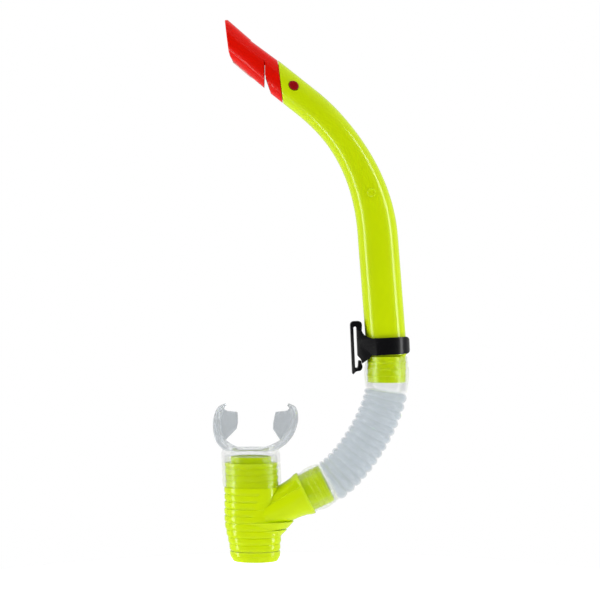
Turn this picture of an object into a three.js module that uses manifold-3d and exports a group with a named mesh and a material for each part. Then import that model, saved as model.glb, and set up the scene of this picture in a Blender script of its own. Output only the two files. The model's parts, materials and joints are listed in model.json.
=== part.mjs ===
// A swimmer's snorkel: a bent oval barrel with a splash guard, a mask strap keeper, a corrugated hose,
// and a chamber with a mouthpiece and a purge valve.
// Millimetres. X runs across the snorkel, from the chamber to the barrel. Y is its depth. Z is up.
// The origin is the middle of the slot in the keeper that holds the mask strap.
import * as THREE from "three";
import { mergeVertices } from "three/addons/utils/BufferGeometryUtils.js";
import Module from "manifold-3d";

const wasm = await Module();
wasm.setup();

const { degToRad, lerp, smoothstep } = THREE.MathUtils;

// ---- Driving dimensions ----

const GAP = 0.3; // clearance between pieces that touch
const SIDES = 26; // facets round a large tube
const FINE_SIDES = 18; // facets round a small part

// The barrel's centreline is a leaning straight, an arc and a second straight.
// Distances along it are counted from the height of the strap slot.
const BARREL = {
  footX: 23.75,
  lean: degToRad(4.4),
  topTilt: degToRad(51.6),
  straight: 86,
  bendRadius: 144.5,
  halfWidth: 15.5,
  halfDepth: 12.25,
  topHalfWidth: 11.75,
  taperStart: 80,
  taperEnd: 180,
  wall: 1.6,
  shoulder: -6.8, // lower end of the oval stretch
  jointAt: 231.2, // where the splash guard meets the barrel
};

// The barrel ends below in a round, upright spigot, which the hose's upper cuff turns on.
const SPIGOT = {
  x: 24,
  top: -6.5,
  bottom: -27,
  radius: 14.6,
  bore: 12.4,
  roof: 2.2, // thickness of the step between the oval bore and the round one
  chamfer: 0.6, // how far the lower end is narrowed for the cuff to slip on
  bead: 0.45, // how far a sealing bead stands out
  beadHalfHeight: 0.8,
  beadHeights: [-21.7, -16.6, -11.5],
};

const GUARD = {
  length: 80, // swept length, longer than the finished guard, which slanted planes trim
  cutTilt: degToRad(7), // slant of the joint and the mouth, from the vertical
  mouthX: -98.6, // where the plane of the mouth crosses the centreline
  collar: 3, // thick ring beside the joint
  mouthHalfWidth: 10.5,
  wall: 1.5,
  hoodStart: 268.5,
  hoodStep: 0.5,
  hoodFlare: 0.045,
  sleeveStart: 208,
  sleeveWall: 1.5,
  slotX: -69.8,
  slotTop: 218.7,
  slotThroat: 208.3, // height where the thin slot starts to widen
  slotHalfWidth: 0.4,
  slotFlare: 0.4, // how much the slot widens for each millimetre below its throat
};

const BUTTON = {
  at: 220.5,
  above: 3,
  halfLength: 3.9,
  halfWidth: 3.3,
  proud: 0.4,
  clearance: 0.5,
};
const TONGUE = { root: 229.5, tip: 212.5, halfWidth: 4.6, slit: 0.6 };

// The keeper stands a little less steeply than the barrel does.
const KEEPER = {
  lean: degToRad(2.5),
  halfDepth: 6.5,
  band: { top: 6.4, bottom: -6.6, wall: 2.2, flareEnd: 19, flareTop: 12 },
  tail: { depth: 6, reach: 6.4 }, // the bar's lower end, below the band
  hook: { bottom: -20.6, floor: -18.4, seat: -16, side: -14.6, tip: -10.4, reach: 3.4 },
  armOuter: -3.45,
  armInner: -1.1,
  barFace: 1.25,
  barOuter: 5.2,
  split: 12.3,
  slotTop: 15.8,
  top: 20,
};

const HOSE = {
  radius: 16.6,
  rootRadius: 15.2,
  wall: 1.1,
  pitch: 5.9,
  cuffRadius: 17.3,
  cuffBore: 15.4,
  cuffLip: 16.1,
  topZ: -28.4,
  topPull: 22.8, // reach of the curve's handle below the upper cuff
  endPull: 21, // reach of the curve's handle before the lower cuff
};

// The side branch rises from the chamber to the hose's lower cuff.
const BRANCH = {
  tilt: degToRad(26), // above the horizontal
  mouthX: -21.8,
  mouthZ: -104.3,
  cuffLength: 17.5,
  tip: 0.6, // how far the spigot stays inside the cuff
  beads: [4, 8, 12], // distances of the sealing beads from the mouth
  flare: 1.6, // how much wider the shoulder beside the cuff is than the stretch behind it
  flareLength: 6.5,
  neckStart: 13, // distance from the shoulder to the plain neck
  neckRadius: 14.5,
  reach: 40, // length from the shoulder into the chamber
  bore: 12.4,
};

// The chamber is oval, and its middle drifts sideways a little with height.
const CHAMBER = {
  x: -80.8,
  collarTop: -79.3,
  drift: -0.0457,
  depthShare: 0.7,
  neckTop: -84,
  neckStep: -88.8,
  neckRadius: 15.6,
  plugRadius: 20.2,
  plugGrooves: [-102.5, -97.5, -92.5],
  plugGrooveDepth: 0.6,
  waistHalfWidth: 21.6,
  bellyHalfWidth: 22.4,
  shoulder: -107.4,
  bottom: -156.3,
  wall: 1.7,
  ribPitch: 5.7,
  ribDepth: 0.7,
  ribWidth: 1.1,
};

// Two broad ribs reach out past the chamber's right side, under the branch.
const GUSSETS = {
  depthShare: 0.62,
  slant: 4.2,
  ribs: [
    { top: -133.6, bottom: -139.2, left: -100.2, right: -47.4 },
    { top: -140, bottom: -145, left: -99.4, right: -52.6 },
  ],
};

const MOUTHPIECE = {
  collarRadius: 22.7,
  collarBore: 20.5,
  lean: 0.13,
  flangeHalfWidth: 32.5,
  flangeHalfHeight: 19,
  flangeWall: 2.6,
  widestZ: -56.5,
  tipHalfGap: 24.6,
  tipZ: -42.5,
  floorZ: -77.8,
  tabHalfGap: 14,
  tabThickness: 5,
  airwayHalfWidth: 14.5,
  airwayHalfDepth: 9.5,
};

const PURGE = {
  bottom: -164.5,
  halfWidth: 19.3,
  footHalfWidth: 17.4,
  floor: 1.6,
  seatTop: -151.1,
  seatThickness: 2,
  flapRadius: 9.6,
  flapThickness: 0.8,
  stemRadius: 1.5,
  bulbRadius: 2.3,
  bulbLift: 2.6,
  seatHoleRadius: 2.6,
  seatHoleCircle: 5.6,
  slotCount: 3,
  slotPitch: 6,
  slotWidth: 3,
  slotReach: 10,
};

const CUFF_SWELL = 0.68; // share of a cuff's length where it starts to narrow to its lip
const CUFF_TOP = SPIGOT.top - 2 * GAP;
const CUFF_SWELL_Z = lerp(HOSE.topZ, CUFF_TOP, CUFF_SWELL);

// ---- Materials ----

const plastic = (color, roughness, opacity = 1) =>
  new THREE.MeshStandardMaterial({
    color,
    roughness,
    metalness: 0,
    opacity,
    transparent: opacity < 1,
  });
const LIME = 0xc8e100;
const RED = 0xd81408;
const DARK_RED = 0x6e0510;
const CLEAR = 0xb9c3ca;
const BLACK = 0x0b0b0d;

// ---- Helpers ----

// A closed geometry as a solid that can be joined and cut.
function solid(geometry) {
  const bare = geometry.clone();
  bare.deleteAttribute("normal");
  bare.deleteAttribute("uv");
  const merged = mergeVertices(bare, 1e-4);
  const vertProperties = merged.attributes.position.array;
  const triVerts = new Uint32Array(merged.index.array);
  return new wasm.Manifold(new wasm.Mesh({ numProp: 3, vertProperties, triVerts }));
}

// A named mesh from a solid.
function piece(name, shape, material) {
  const { vertProperties, triVerts } = shape.getMesh();
  const geometry = new THREE.BufferGeometry();
  geometry.setAttribute("position", new THREE.BufferAttribute(vertProperties, 3));
  geometry.setIndex(new THREE.BufferAttribute(triVerts, 1));
  geometry.computeVertexNormals();
  const mesh = new THREE.Mesh(geometry, material);
  mesh.name = name;
  return mesh;
}

// A solid turned about the Z axis. Each profile point is [radius, height], going up the outside.
function turned(profile, sides = SIDES) {
  const points = profile.map(([radius, height]) => new THREE.Vector2(radius, height));
  return new THREE.LatheGeometry(points, sides).rotateX(Math.PI / 2);
}

// A rod turned about the Z axis, with a ring of points at each height.
function rod(radius, heights, sides = SIDES) {
  const wall = heights.map((height) => [radius, height]);
  return turned([[0, heights[0]], ...wall, [0, heights.at(-1)]], sides);
}

// A flat outline in X and Z, given depth along Y on both sides of the middle plane.
function slab(shape, halfDepth, curveSegments = 8) {
  const options = { depth: 2 * halfDepth, bevelEnabled: false, curveSegments };
  return new THREE.ExtrudeGeometry(shape, options).rotateX(Math.PI / 2).translate(0, halfDepth, 0);
}

// Moves each vertex of a geometry by a rule.
function warp(geometry, rule) {
  const position = geometry.attributes.position;
  const point = new THREE.Vector3();
  for (let i = 0; i < position.count; i++) {
    point.fromBufferAttribute(position, i);
    const moved = rule(point);
    position.setXYZ(i, moved.x, moved.y, moved.z);
  }
  return geometry;
}

const heightsBetween = (from, to, steps) =>
  Array.from({ length: steps + 1 }, (_, i) => lerp(from, to, i / steps));

function polygon(points) {
  return new THREE.Shape(points.map(([x, y]) => new THREE.Vector2(x, y)));
}

// ---- The barrel's centreline ----

const BEND_LENGTH = BARREL.bendRadius * (BARREL.topTilt - BARREL.lean);
const BEND_END = BARREL.straight + BEND_LENGTH;

function barrelTilt(s) {
  const bent = (s - BARREL.straight) / BARREL.bendRadius;
  return THREE.MathUtils.clamp(BARREL.lean + bent, BARREL.lean, BARREL.topTilt);
}

function barrelPoint(s) {
  const tilt = barrelTilt(s);
  const before = Math.min(s, BARREL.straight);
  const after = Math.max(s - BEND_END, 0);
  const bendX = BARREL.bendRadius * (Math.cos(tilt) - Math.cos(BARREL.lean));
  const bendZ = BARREL.bendRadius * (Math.sin(tilt) - Math.sin(BARREL.lean));
  const x = BARREL.footX - before * Math.sin(BARREL.lean) + bendX - after * Math.sin(tilt);
  const z = before * Math.cos(BARREL.lean) + bendZ + after * Math.cos(tilt);
  return new THREE.Vector3(x, 0, z);
}

// Carries a point of a straight oval tube, with its length along Z, onto the centreline.
function ontoBarrel(point) {
  const tilt = barrelTilt(point.z);
  const across = new THREE.Vector3(Math.cos(tilt), 0, Math.sin(tilt));
  const middle = barrelPoint(point.z);
  middle.addScaledVector(across, point.x);
  middle.y = point.y;
  return middle;
}

function barrelHalfWidth(s) {
  const share = smoothstep(s, BARREL.taperStart, BARREL.taperEnd);
  return lerp(BARREL.halfWidth, BARREL.topHalfWidth, share);
}

// Heights of the rings along the barrel: few on the straights, more round the bend.
const BARREL_RINGS = [
  ...heightsBetween(BARREL.straight - 4, BEND_END, 11),
  BARREL.jointAt + 20,
];

// An oval rod along the barrel, inset from its outer surface.
function barrelRod(from, inset) {
  const rings = [from, ...BARREL_RINGS.filter((s) => s > from)];
  return warp(rod(1, rings), (p) => {
    const x = p.x * (barrelHalfWidth(p.z) - inset);
    const y = p.y * (BARREL.halfDepth - inset);
    return ontoBarrel(new THREE.Vector3(x, y, p.z));
  });
}

// A large block whose one face is a slanted plane through the centreline at x.
// It lies beyond the plane, towards the tip, and is used for trimming.
function beyondPlane(x, tilt) {
  const size = 120;
  const block = new THREE.BoxGeometry(size, size, size);
  block.translate(-size / 2, 0, 0);
  block.rotateY(-tilt);
  const s = BEND_END + (barrelPoint(BEND_END).x - x) / Math.sin(BARREL.topTilt);
  const at = barrelPoint(s);
  return solid(block.translate(at.x, 0, at.z));
}

const JOINT_X = barrelPoint(BARREL.jointAt).x;

// ---- Barrel ----

// The oval rod that the button's hole, or the button itself, is cut from, seen along Y.
function buttonRod(grow) {
  const at = barrelPoint(BUTTON.at);
  const tilt = barrelTilt(BUTTON.at);
  const outline = new THREE.Shape();
  outline.absellipse(0, 0, BUTTON.halfWidth + grow, BUTTON.halfLength + grow, 0, 2 * Math.PI);
  const rodAlongY = slab(outline, 30, 6);
  rodAlongY.translate(BUTTON.above, 0, 0).rotateY(-tilt);
  return solid(rodAlongY.translate(at.x, 0, at.z));
}

// The chamfered end of a spigot, at a height.
function spigotTip(height) {
  const { radius, chamfer } = SPIGOT;
  return [
    [radius - chamfer, height],
    [radius, height + 2 * chamfer],
  ];
}

// One sealing bead round a spigot, at a height.
function spigotBead(height) {
  const { radius, bead, beadHalfHeight } = SPIGOT;
  return [
    [radius, height - beadHalfHeight],
    [radius + bead, height],
    [radius, height + beadHalfHeight],
  ];
}

function makeBarrel() {
  const bore = solid(barrelRod(BARREL.shoulder - 3, BARREL.wall));
  const { top, bottom, radius, bore: spigotBore, roof, beadHeights } = SPIGOT;
  const spigotWall = [
    [spigotBore, bottom],
    ...spigotTip(bottom),
    ...beadHeights.flatMap(spigotBead),
    [radius, top],
    [0, top],
    [0, top - roof],
    [spigotBore, top - roof],
    [spigotBore, bottom],
  ];
  const spigot = solid(turned(spigotWall).translate(SPIGOT.x, 0, 0));
  const beyondJoint = beyondPlane(JOINT_X, GUARD.cutTilt);
  return solid(barrelRod(BARREL.shoulder, 0))
    .add(spigot)
    .subtract(bore)
    .subtract(beyondJoint)
    .subtract(buttonRod(BUTTON.clearance));
}

// ---- Splash guard ----

// Half width of the guard on its upper side. The hood over the mouth starts with a small step.
function guardUpperHalfWidth(s) {
  const tapered = guardLowerHalfWidth(s);
  const past = s - GUARD.hoodStart;
  return past > 0 ? tapered + GUARD.hoodStep + past * GUARD.hoodFlare : tapered;
}

function guardLowerHalfWidth(s) {
  const share = (s - BARREL.jointAt) / (GUARD.hoodStart - BARREL.jointAt);
  return lerp(BARREL.topHalfWidth, GUARD.mouthHalfWidth, THREE.MathUtils.clamp(share, 0, 1));
}

function guardRod(from, inset) {
  const step = 0.6;
  const to = BARREL.jointAt + GUARD.length;
  const rings = [from, BARREL.jointAt, GUARD.hoodStart, GUARD.hoodStart + step, to];
  return warp(rod(1, rings), (p) => {
    const half = p.x > 0 ? guardUpperHalfWidth(p.z) : guardLowerHalfWidth(p.z);
    const x = p.x * (half - inset);
    const y = p.y * (BARREL.halfDepth - inset);
    return ontoBarrel(new THREE.Vector3(x, y, p.z));
  });
}

// The slot in the guard's lower side that lets water drain: thin above, a wedge below.
function drainSlot() {
  const { slotX, slotTop, slotThroat, slotHalfWidth, slotFlare } = GUARD;
  const throat = slotTop - slotThroat;
  const depth = 30;
  const outline = polygon([
    [-slotHalfWidth, 0],
    [slotHalfWidth, 0],
    [slotHalfWidth, -throat],
    [slotHalfWidth + slotFlare * (depth - throat), -depth],
    [-slotHalfWidth, -depth],
  ]);
  return solid(slab(outline, depth).translate(slotX, 0, slotTop));
}

// The sleeve that slips into the barrel, as a solid oval rod inset from the barrel's outer surface.
function sleeveRod(inset) {
  const rings = [GUARD.sleeveStart, BARREL.jointAt + 30];
  const oval = warp(rod(1, rings), (p) => {
    const x = p.x * (BARREL.topHalfWidth - inset);
    const y = p.y * (BARREL.halfDepth - inset);
    return ontoBarrel(new THREE.Vector3(x, y, p.z));
  });
  return solid(oval);
}

const SLEEVE_INSET = BARREL.wall + GAP;

function sleeveTube() {
  return sleeveRod(SLEEVE_INSET).subtract(sleeveRod(SLEEVE_INSET + GUARD.sleeveWall));
}

// The patch of sleeve that a snap tongue takes up, as a box across the whole depth.
function tonguePatch(grow) {
  const middle = (TONGUE.root + TONGUE.tip) / 2;
  const at = barrelPoint(middle);
  const length = TONGUE.root - TONGUE.tip + 2 * grow;
  const box = new THREE.BoxGeometry(2 * (TONGUE.halfWidth + grow), 60, length);
  box.translate(BUTTON.above, 0, 0).rotateY(-barrelTilt(middle));
  return solid(box.translate(at.x, 0, at.z));
}

function makeSplashGuard() {
  const { cutTilt, collar, wall, mouthX, sleeveWall } = GUARD;
  const beyondMouth = beyondPlane(mouthX, cutTilt);
  const beyondCollar = beyondPlane(JOINT_X - collar, cutTilt);
  const cap = solid(guardRod(BARREL.jointAt - 14, 0)).intersect(beyondPlane(JOINT_X - GAP, cutTilt));
  const hollow = solid(guardRod(BARREL.jointAt - 14, wall)).intersect(beyondCollar);
  return cap
    .subtract(hollow)
    .add(sleeveRod(SLEEVE_INSET).subtract(beyondCollar))
    .subtract(sleeveRod(SLEEVE_INSET + sleeveWall))
    .subtract(beyondMouth)
    .subtract(drainSlot())
    .subtract(tonguePatch(TONGUE.slit));
}

// One snap tongue with its button. side is -1 for the front and 1 for the back.
function makeSnapTongue(side) {
  const tongue = sleeveTube().intersect(tonguePatch(0));
  const buttonSkin = solid(barrelRod(BARREL.straight, -BUTTON.proud));
  const button = buttonRod(0).intersect(buttonSkin).subtract(sleeveRod(SLEEVE_INSET + 0.5));
  const half = new THREE.BoxGeometry(400, 60, 600).translate(0, side * 30, 0);
  return tongue.add(button).intersect(solid(half));
}

// ---- Keeper ----

// Side outline of the band: it flares at the buckle, and its bar's lower corner is cut back for the strap.
function bandOutline() {
  const { band, tail, barFace, barOuter, split } = KEEPER;
  const farX = 48; // beyond the band's far side
  const shape = new THREE.Shape();
  shape.moveTo(barFace, band.bottom);
  shape.lineTo(barFace + 0.4 * tail.reach, band.bottom - tail.depth / 2);
  shape.lineTo(barFace + tail.reach / 2, band.bottom - tail.depth);
  shape.lineTo(barFace + tail.reach, band.bottom - 0.6 * tail.depth);
  shape.quadraticCurveTo(barFace + band.flareTop, band.bottom, barFace + band.flareEnd, band.bottom);
  shape.lineTo(farX, band.bottom);
  shape.lineTo(farX, band.top);
  shape.lineTo(barFace + band.flareTop, band.top);
  shape.quadraticCurveTo(barOuter + 1.5, band.top + 1, barOuter, split);
  shape.lineTo(barFace, split);
  return shape;
}

// Plan outline of the band: an oval round the barrel, drawn out to the bar of the buckle.
function bandPlan() {
  const { band, barFace, halfDepth } = KEEPER;
  const x = BARREL.footX;
  const a = BARREL.halfWidth + GAP + band.wall;
  const b = BARREL.halfDepth + GAP + band.wall;
  const tangent = degToRad(125);
  const shape = new THREE.Shape();
  shape.moveTo(barFace, -halfDepth);
  shape.absellipse(x, 0, a, b, -tangent, tangent, false);
  shape.lineTo(barFace, halfDepth);
  return shape;
}

function makeKeeperBand() {
  const height = 60;
  const plan = new THREE.ExtrudeGeometry(bandPlan(), {
    depth: height,
    bevelEnabled: false,
    curveSegments: SIDES,
  });
  plan.translate(0, 0, -height / 2);
  const clearance = warp(rod(1, [-height / 2, height / 2]), (p) => {
    const x = p.x * (BARREL.halfWidth + GAP);
    const y = p.y * (BARREL.halfDepth + GAP);
    return ontoBarrel(new THREE.Vector3(x, y, p.z));
  });
  clearance.rotateY(KEEPER.lean);
  // The flare below the band stays outside the hose's upper cuff.
  const cuffRoom = turned([
    [0, -40],
    [HOSE.cuffRadius + 2 * GAP, -40],
    [HOSE.cuffRadius + 2 * GAP, CUFF_SWELL_Z],
    [HOSE.cuffLip + 2 * GAP, SPIGOT.top],
    [0, SPIGOT.top],
  ]);
  cuffRoom.translate(SPIGOT.x, 0, GAP).rotateY(KEEPER.lean);
  const outside = solid(plan).intersect(solid(slab(bandOutline(), 30, 6)));
  return outside.subtract(solid(clearance)).subtract(solid(cuffRoom));
}

// Side outline of the latch arm: a U turn at the top, and a J hook that closes under the bar.
function armOutline() {
  const { armOuter, armInner, barFace, barOuter, split, slotTop, top, hook } = KEEPER;
  const shape = new THREE.Shape();
  shape.moveTo(barFace, split + GAP);
  shape.lineTo(barOuter, split + GAP);
  shape.lineTo(barOuter + 0.4, top - 3);
  shape.quadraticCurveTo(barOuter + 0.2, top - 0.4, barOuter - 3, top);
  shape.lineTo(armOuter + 3, top);
  shape.quadraticCurveTo(armOuter, top - 0.4, armOuter, top - 3.4);
  shape.lineTo(armOuter, hook.bottom + 1);
  shape.quadraticCurveTo(armOuter, hook.bottom, armOuter + 0.9, hook.bottom);
  shape.lineTo(armInner, hook.floor - 0.8);
  shape.quadraticCurveTo(armInner + 0.6, hook.floor, barFace, hook.floor);
  shape.quadraticCurveTo(barFace + 3, hook.floor, barFace + hook.reach, hook.side);
  shape.lineTo(barFace + hook.reach - 1.1, hook.tip);
  shape.lineTo(barFace + 0.4, hook.tip);
  shape.lineTo(barFace, hook.side);
  shape.quadraticCurveTo(barFace - 0.2, hook.seat, armInner + 1.1, hook.seat);
  shape.quadraticCurveTo(armInner, hook.seat, armInner, hook.side);
  shape.lineTo(armInner, slotTop - 1.1);
  shape.quadraticCurveTo(armInner + 0.1, slotTop, (armInner + barFace) / 2, slotTop);
  shape.quadraticCurveTo(barFace - 0.1, slotTop, barFace, slotTop - 1.1);
  return shape;
}

function makeLatchArm() {
  return solid(slab(armOutline(), KEEPER.halfDepth, 4));
}

// ---- Hose ----

const branchDirection = new THREE.Vector3(Math.cos(BRANCH.tilt), 0, Math.sin(BRANCH.tilt));
const branchMouth = new THREE.Vector3(BRANCH.mouthX, 0, BRANCH.mouthZ);

// The hose's centreline, from the upper cuff down to the lower cuff.
const hoseTop = new THREE.Vector3(SPIGOT.x, 0, HOSE.topZ);
const hoseCurve = new THREE.CubicBezierCurve3(
  hoseTop,
  hoseTop.clone().add(new THREE.Vector3(0, 0, -HOSE.topPull)),
  branchMouth.clone().addScaledVector(branchDirection, HOSE.endPull),
  branchMouth,
);
const HOSE_LENGTH = hoseCurve.getLength();

// Carries a point of a straight hose, with its length down Z from 0, onto the centreline.
function ontoHose(point) {
  const share = THREE.MathUtils.clamp(-point.z / HOSE_LENGTH, 0, 1);
  const middle = hoseCurve.getPointAt(share);
  const tangent = hoseCurve.getTangentAt(share);
  middle.x += -tangent.z * point.x;
  middle.z += tangent.x * point.x;
  middle.y = point.y;
  return middle;
}

function makeHose() {
  const plain = 4; // smooth length beside each cuff
  const turns = Math.round((HOSE_LENGTH - 2 * plain) / HOSE.pitch);
  const pitch = (HOSE_LENGTH - 2 * plain) / turns;
  const outside = [[HOSE.radius, -HOSE_LENGTH + GAP], [HOSE.radius, -HOSE_LENGTH + plain]];
  for (let i = turns; i > 0; i--) {
    outside.push([HOSE.rootRadius, -plain - (i - 0.15) * pitch]);
    outside.push([HOSE.radius, -plain - (i - 0.5) * pitch]);
  }
  outside.push([HOSE.rootRadius, -plain], [HOSE.radius, -GAP]);
  const inside = outside.map(([radius, height]) => [radius - HOSE.wall, height]).reverse();
  const profile = [...outside, ...inside, outside[0]];
  return solid(warp(turned(profile, FINE_SIDES), ontoHose));
}

// A cuff's wall, from its hose end at 0 to its open end at length, swelling a little in the middle.
function cuffProfile(length) {
  const { cuffRadius, cuffBore, cuffLip, radius } = HOSE;
  return [
    [cuffBore, 0],
    [radius - 0.2, 0],
    [cuffRadius, length * 0.3],
    [cuffRadius, length * CUFF_SWELL],
    [cuffLip, length],
    [cuffBore, length],
    [cuffBore, 0],
  ];
}

function makeUpperCuff() {
  const length = CUFF_TOP - HOSE.topZ;
  return solid(turned(cuffProfile(length)).translate(SPIGOT.x, 0, HOSE.topZ));
}

// Lays a solid turned about Z along the branch, with Z = 0 at the branch's mouth and Z towards the chamber.
function ontoBranch(geometry) {
  geometry.rotateY(Math.PI + Math.PI / 2 - BRANCH.tilt);
  return geometry.translate(BRANCH.mouthX, 0, BRANCH.mouthZ);
}

function makeLowerCuff() {
  return solid(ontoBranch(turned(cuffProfile(BRANCH.cuffLength))));
}

// ---- Chamber ----

// Gives a solid turned about Z the chamber's oval section, and its drift with height.
function ontoChamber(geometry) {
  return warp(geometry, (p) => {
    const x = CHAMBER.x + CHAMBER.drift * (p.z - CHAMBER.collarTop) + p.x;
    return new THREE.Vector3(x, p.y * CHAMBER.depthShare, p.z);
  });
}

// Half width of the chamber's ribs at a height.
function chamberHalfWidth(z) {
  const upper = lerp(CHAMBER.waistHalfWidth, CHAMBER.bellyHalfWidth, smoothstep(-z, 112, 132));
  return lerp(upper, PURGE.halfWidth + 0.2, smoothstep(-z, 134, -CHAMBER.bottom));
}

function chamberOutside() {
  const { bottom, shoulder, ribPitch, ribDepth, ribWidth } = CHAMBER;
  const { plugRadius, plugGrooves, plugGrooveDepth, neckStep, neckRadius, neckTop } = CHAMBER;
  const ribs = Math.round((shoulder - bottom) / ribPitch);
  const pitch = (shoulder - bottom) / ribs;
  const profile = [[0, bottom]];
  for (let i = 0; i < ribs; i++) {
    const low = bottom + i * pitch;
    const half = chamberHalfWidth(low + pitch / 2);
    profile.push([half - ribDepth, low], [half, low + ribWidth], [half, low + pitch]);
  }
  profile.push([plugRadius, shoulder]);
  for (const z of plugGrooves) {
    profile.push([plugRadius, z - 1], [plugRadius - plugGrooveDepth, z], [plugRadius, z + 1]);
  }
  profile.push([plugRadius, neckStep], [neckRadius, neckStep], [neckRadius, neckTop], [0, neckTop]);
  return profile;
}

function chamberCavity() {
  const { bottom, neckTop, neckRadius, wall, plugRadius, neckStep, shoulder } = CHAMBER;
  const low = PURGE.halfWidth - wall;
  return [
    [0, bottom - 1],
    [low, bottom - 1],
    [low, PURGE.seatTop + GAP],
    [low + 1.6, PURGE.seatTop + 12],
    [plugRadius - wall, shoulder],
    [plugRadius - wall, neckStep - wall - 3],
    [neckRadius - wall, neckStep - 1],
    [neckRadius - wall, neckTop + 1],
    [0, neckTop + 1],
  ];
}

// The broad ribs that carry the branch's underside, each an oval whose ends slant in below.
function gussetRibs() {
  const { depthShare, slant, ribs } = GUSSETS;
  return ribs.map(({ top, bottom, left, right }) => {
    const half = (right - left) / 2;
    const oval = turned([[0, bottom], [half - slant, bottom], [half, top - 0.5], [half, top], [0, top]]);
    oval.scale(1, depthShare, 1);
    return solid(oval.translate((left + right) / 2, 0, 0));
  });
}

// The profile of the branch with its ribbed spigot, with height 0 at its mouth.
function branchOutside(grow = 0) {
  const { cuffLength, tip, beads, flare, flareLength, neckStart, neckRadius, reach } = BRANCH;
  const shoulderRadius = HOSE.cuffRadius - GAP + grow;
  const shoulder = cuffLength + GAP;
  return [
    [0, tip],
    ...spigotTip(tip),
    ...beads.flatMap(spigotBead),
    [SPIGOT.radius, shoulder],
    [shoulderRadius, shoulder],
    [shoulderRadius - flare, shoulder + flareLength],
    [neckRadius + grow, shoulder + neckStart],
    [neckRadius + grow, shoulder + reach],
    [0, shoulder + reach],
  ];
}

function makeChamber() {
  const boreReach = 62; // from the branch's mouth into the cavity
  const body = solid(ontoChamber(turned(chamberOutside())));
  const branch = solid(ontoBranch(turned(branchOutside(), FINE_SIDES)));
  const outside = gussetRibs().reduce((sum, rib) => sum.add(rib), body.add(branch));
  const branchBore = solid(ontoBranch(rod(BRANCH.bore, [-1, boreReach], FINE_SIDES)));
  return outside.subtract(solid(ontoChamber(turned(chamberCavity())))).subtract(branchBore);
}

// ---- Mouthpiece ----

// Moves a shape drawn about X = 0 over the chamber's neck, and leans it towards the barrel as it rises.
function ontoNeck(geometry) {
  return warp(geometry, (p) => {
    const x = CHAMBER.x + MOUTHPIECE.lean * (p.z - CHAMBER.collarTop) + p.x;
    return new THREE.Vector3(x, p.y, p.z);
  });
}

// The flange from above: a crescent floor over the collar, and two arms that bulge and close in again.
function flangePlan() {
  const { collarRadius, flangeHalfWidth, flangeWall, widestZ, tipHalfGap, tipZ, floorZ } = MOUTHPIECE;
  const baseZ = CHAMBER.collarTop - 1;
  const cornerX = 20.5; // where the floor meets an arm
  const cornerZ = floorZ + 5;
  const inner = flangeHalfWidth - flangeWall;
  const right = (sign, path) => {
    const steps = [
      [collarRadius + 5, baseZ + 6, flangeHalfWidth + 0.5, widestZ - 9, flangeHalfWidth, widestZ],
      [flangeHalfWidth - 0.6, widestZ + 7, tipHalfGap + 3, tipZ - 3, tipHalfGap, tipZ],
      [tipHalfGap - 1, tipZ - 2, tipHalfGap - 1, tipZ - 3, tipHalfGap - 1, tipZ - 3.4],
      [tipHalfGap + 3, tipZ - 5.5, inner - 0.3, widestZ + 5, inner, widestZ],
      [inner, widestZ - 8, cornerX + 6.5, cornerZ + 3.6, cornerX, cornerZ],
      [cornerX - 7, floorZ + 1.4, 8, floorZ, 0, floorZ],
    ];
    for (const [ax, az, bx, bz, x, z] of steps) {
      path.bezierCurveTo(sign * ax, az, sign * bx, bz, sign * x, z);
    }
    return path;
  };
  const half = (sign) => {
    const shape = new THREE.Shape();
    shape.moveTo(0, baseZ);
    shape.lineTo(sign * collarRadius, baseZ);
    return right(sign, shape);
  };
  return [half(1), half(-1)];
}

// The flange from the side: tall at the lips, rounded off towards the tips. Drawn in Y and Z.
function flangeSide() {
  const half = MOUTHPIECE.flangeHalfHeight;
  const { collarTop } = CHAMBER;
  const shape = new THREE.Shape();
  shape.moveTo(-half + 4, collarTop - 2);
  shape.quadraticCurveTo(-half, collarTop + 3, -half, collarTop + 12);
  shape.quadraticCurveTo(-half, MOUTHPIECE.tipZ, -5, MOUTHPIECE.tipZ + 2);
  shape.lineTo(5, MOUTHPIECE.tipZ + 2);
  shape.quadraticCurveTo(half, MOUTHPIECE.tipZ, half, collarTop + 12);
  shape.quadraticCurveTo(half, collarTop + 3, half - 4, collarTop - 2);
  return shape;
}

// A bite tab: a plate that reaches in from an arm of the flange. sign is 1 or -1.
function biteTab(sign) {
  const { tabHalfGap, tabThickness, tipZ, widestZ, flangeHalfWidth } = MOUTHPIECE;
  const armX = flangeHalfWidth - 2;
  const points = [
    [tabHalfGap + 0.6, tipZ - 7.4],
    [tabHalfGap + 10.5, tipZ - 6],
    [armX, widestZ + 4],
    [armX, widestZ - 7],
    [armX - 9.5, widestZ - 15],
    [tabHalfGap, widestZ - 6.5],
    [tabHalfGap - 0.4, widestZ - 1.5],
  ];
  return slab(polygon(points.map(([x, z]) => [sign * x, z])), tabThickness / 2);
}

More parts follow.
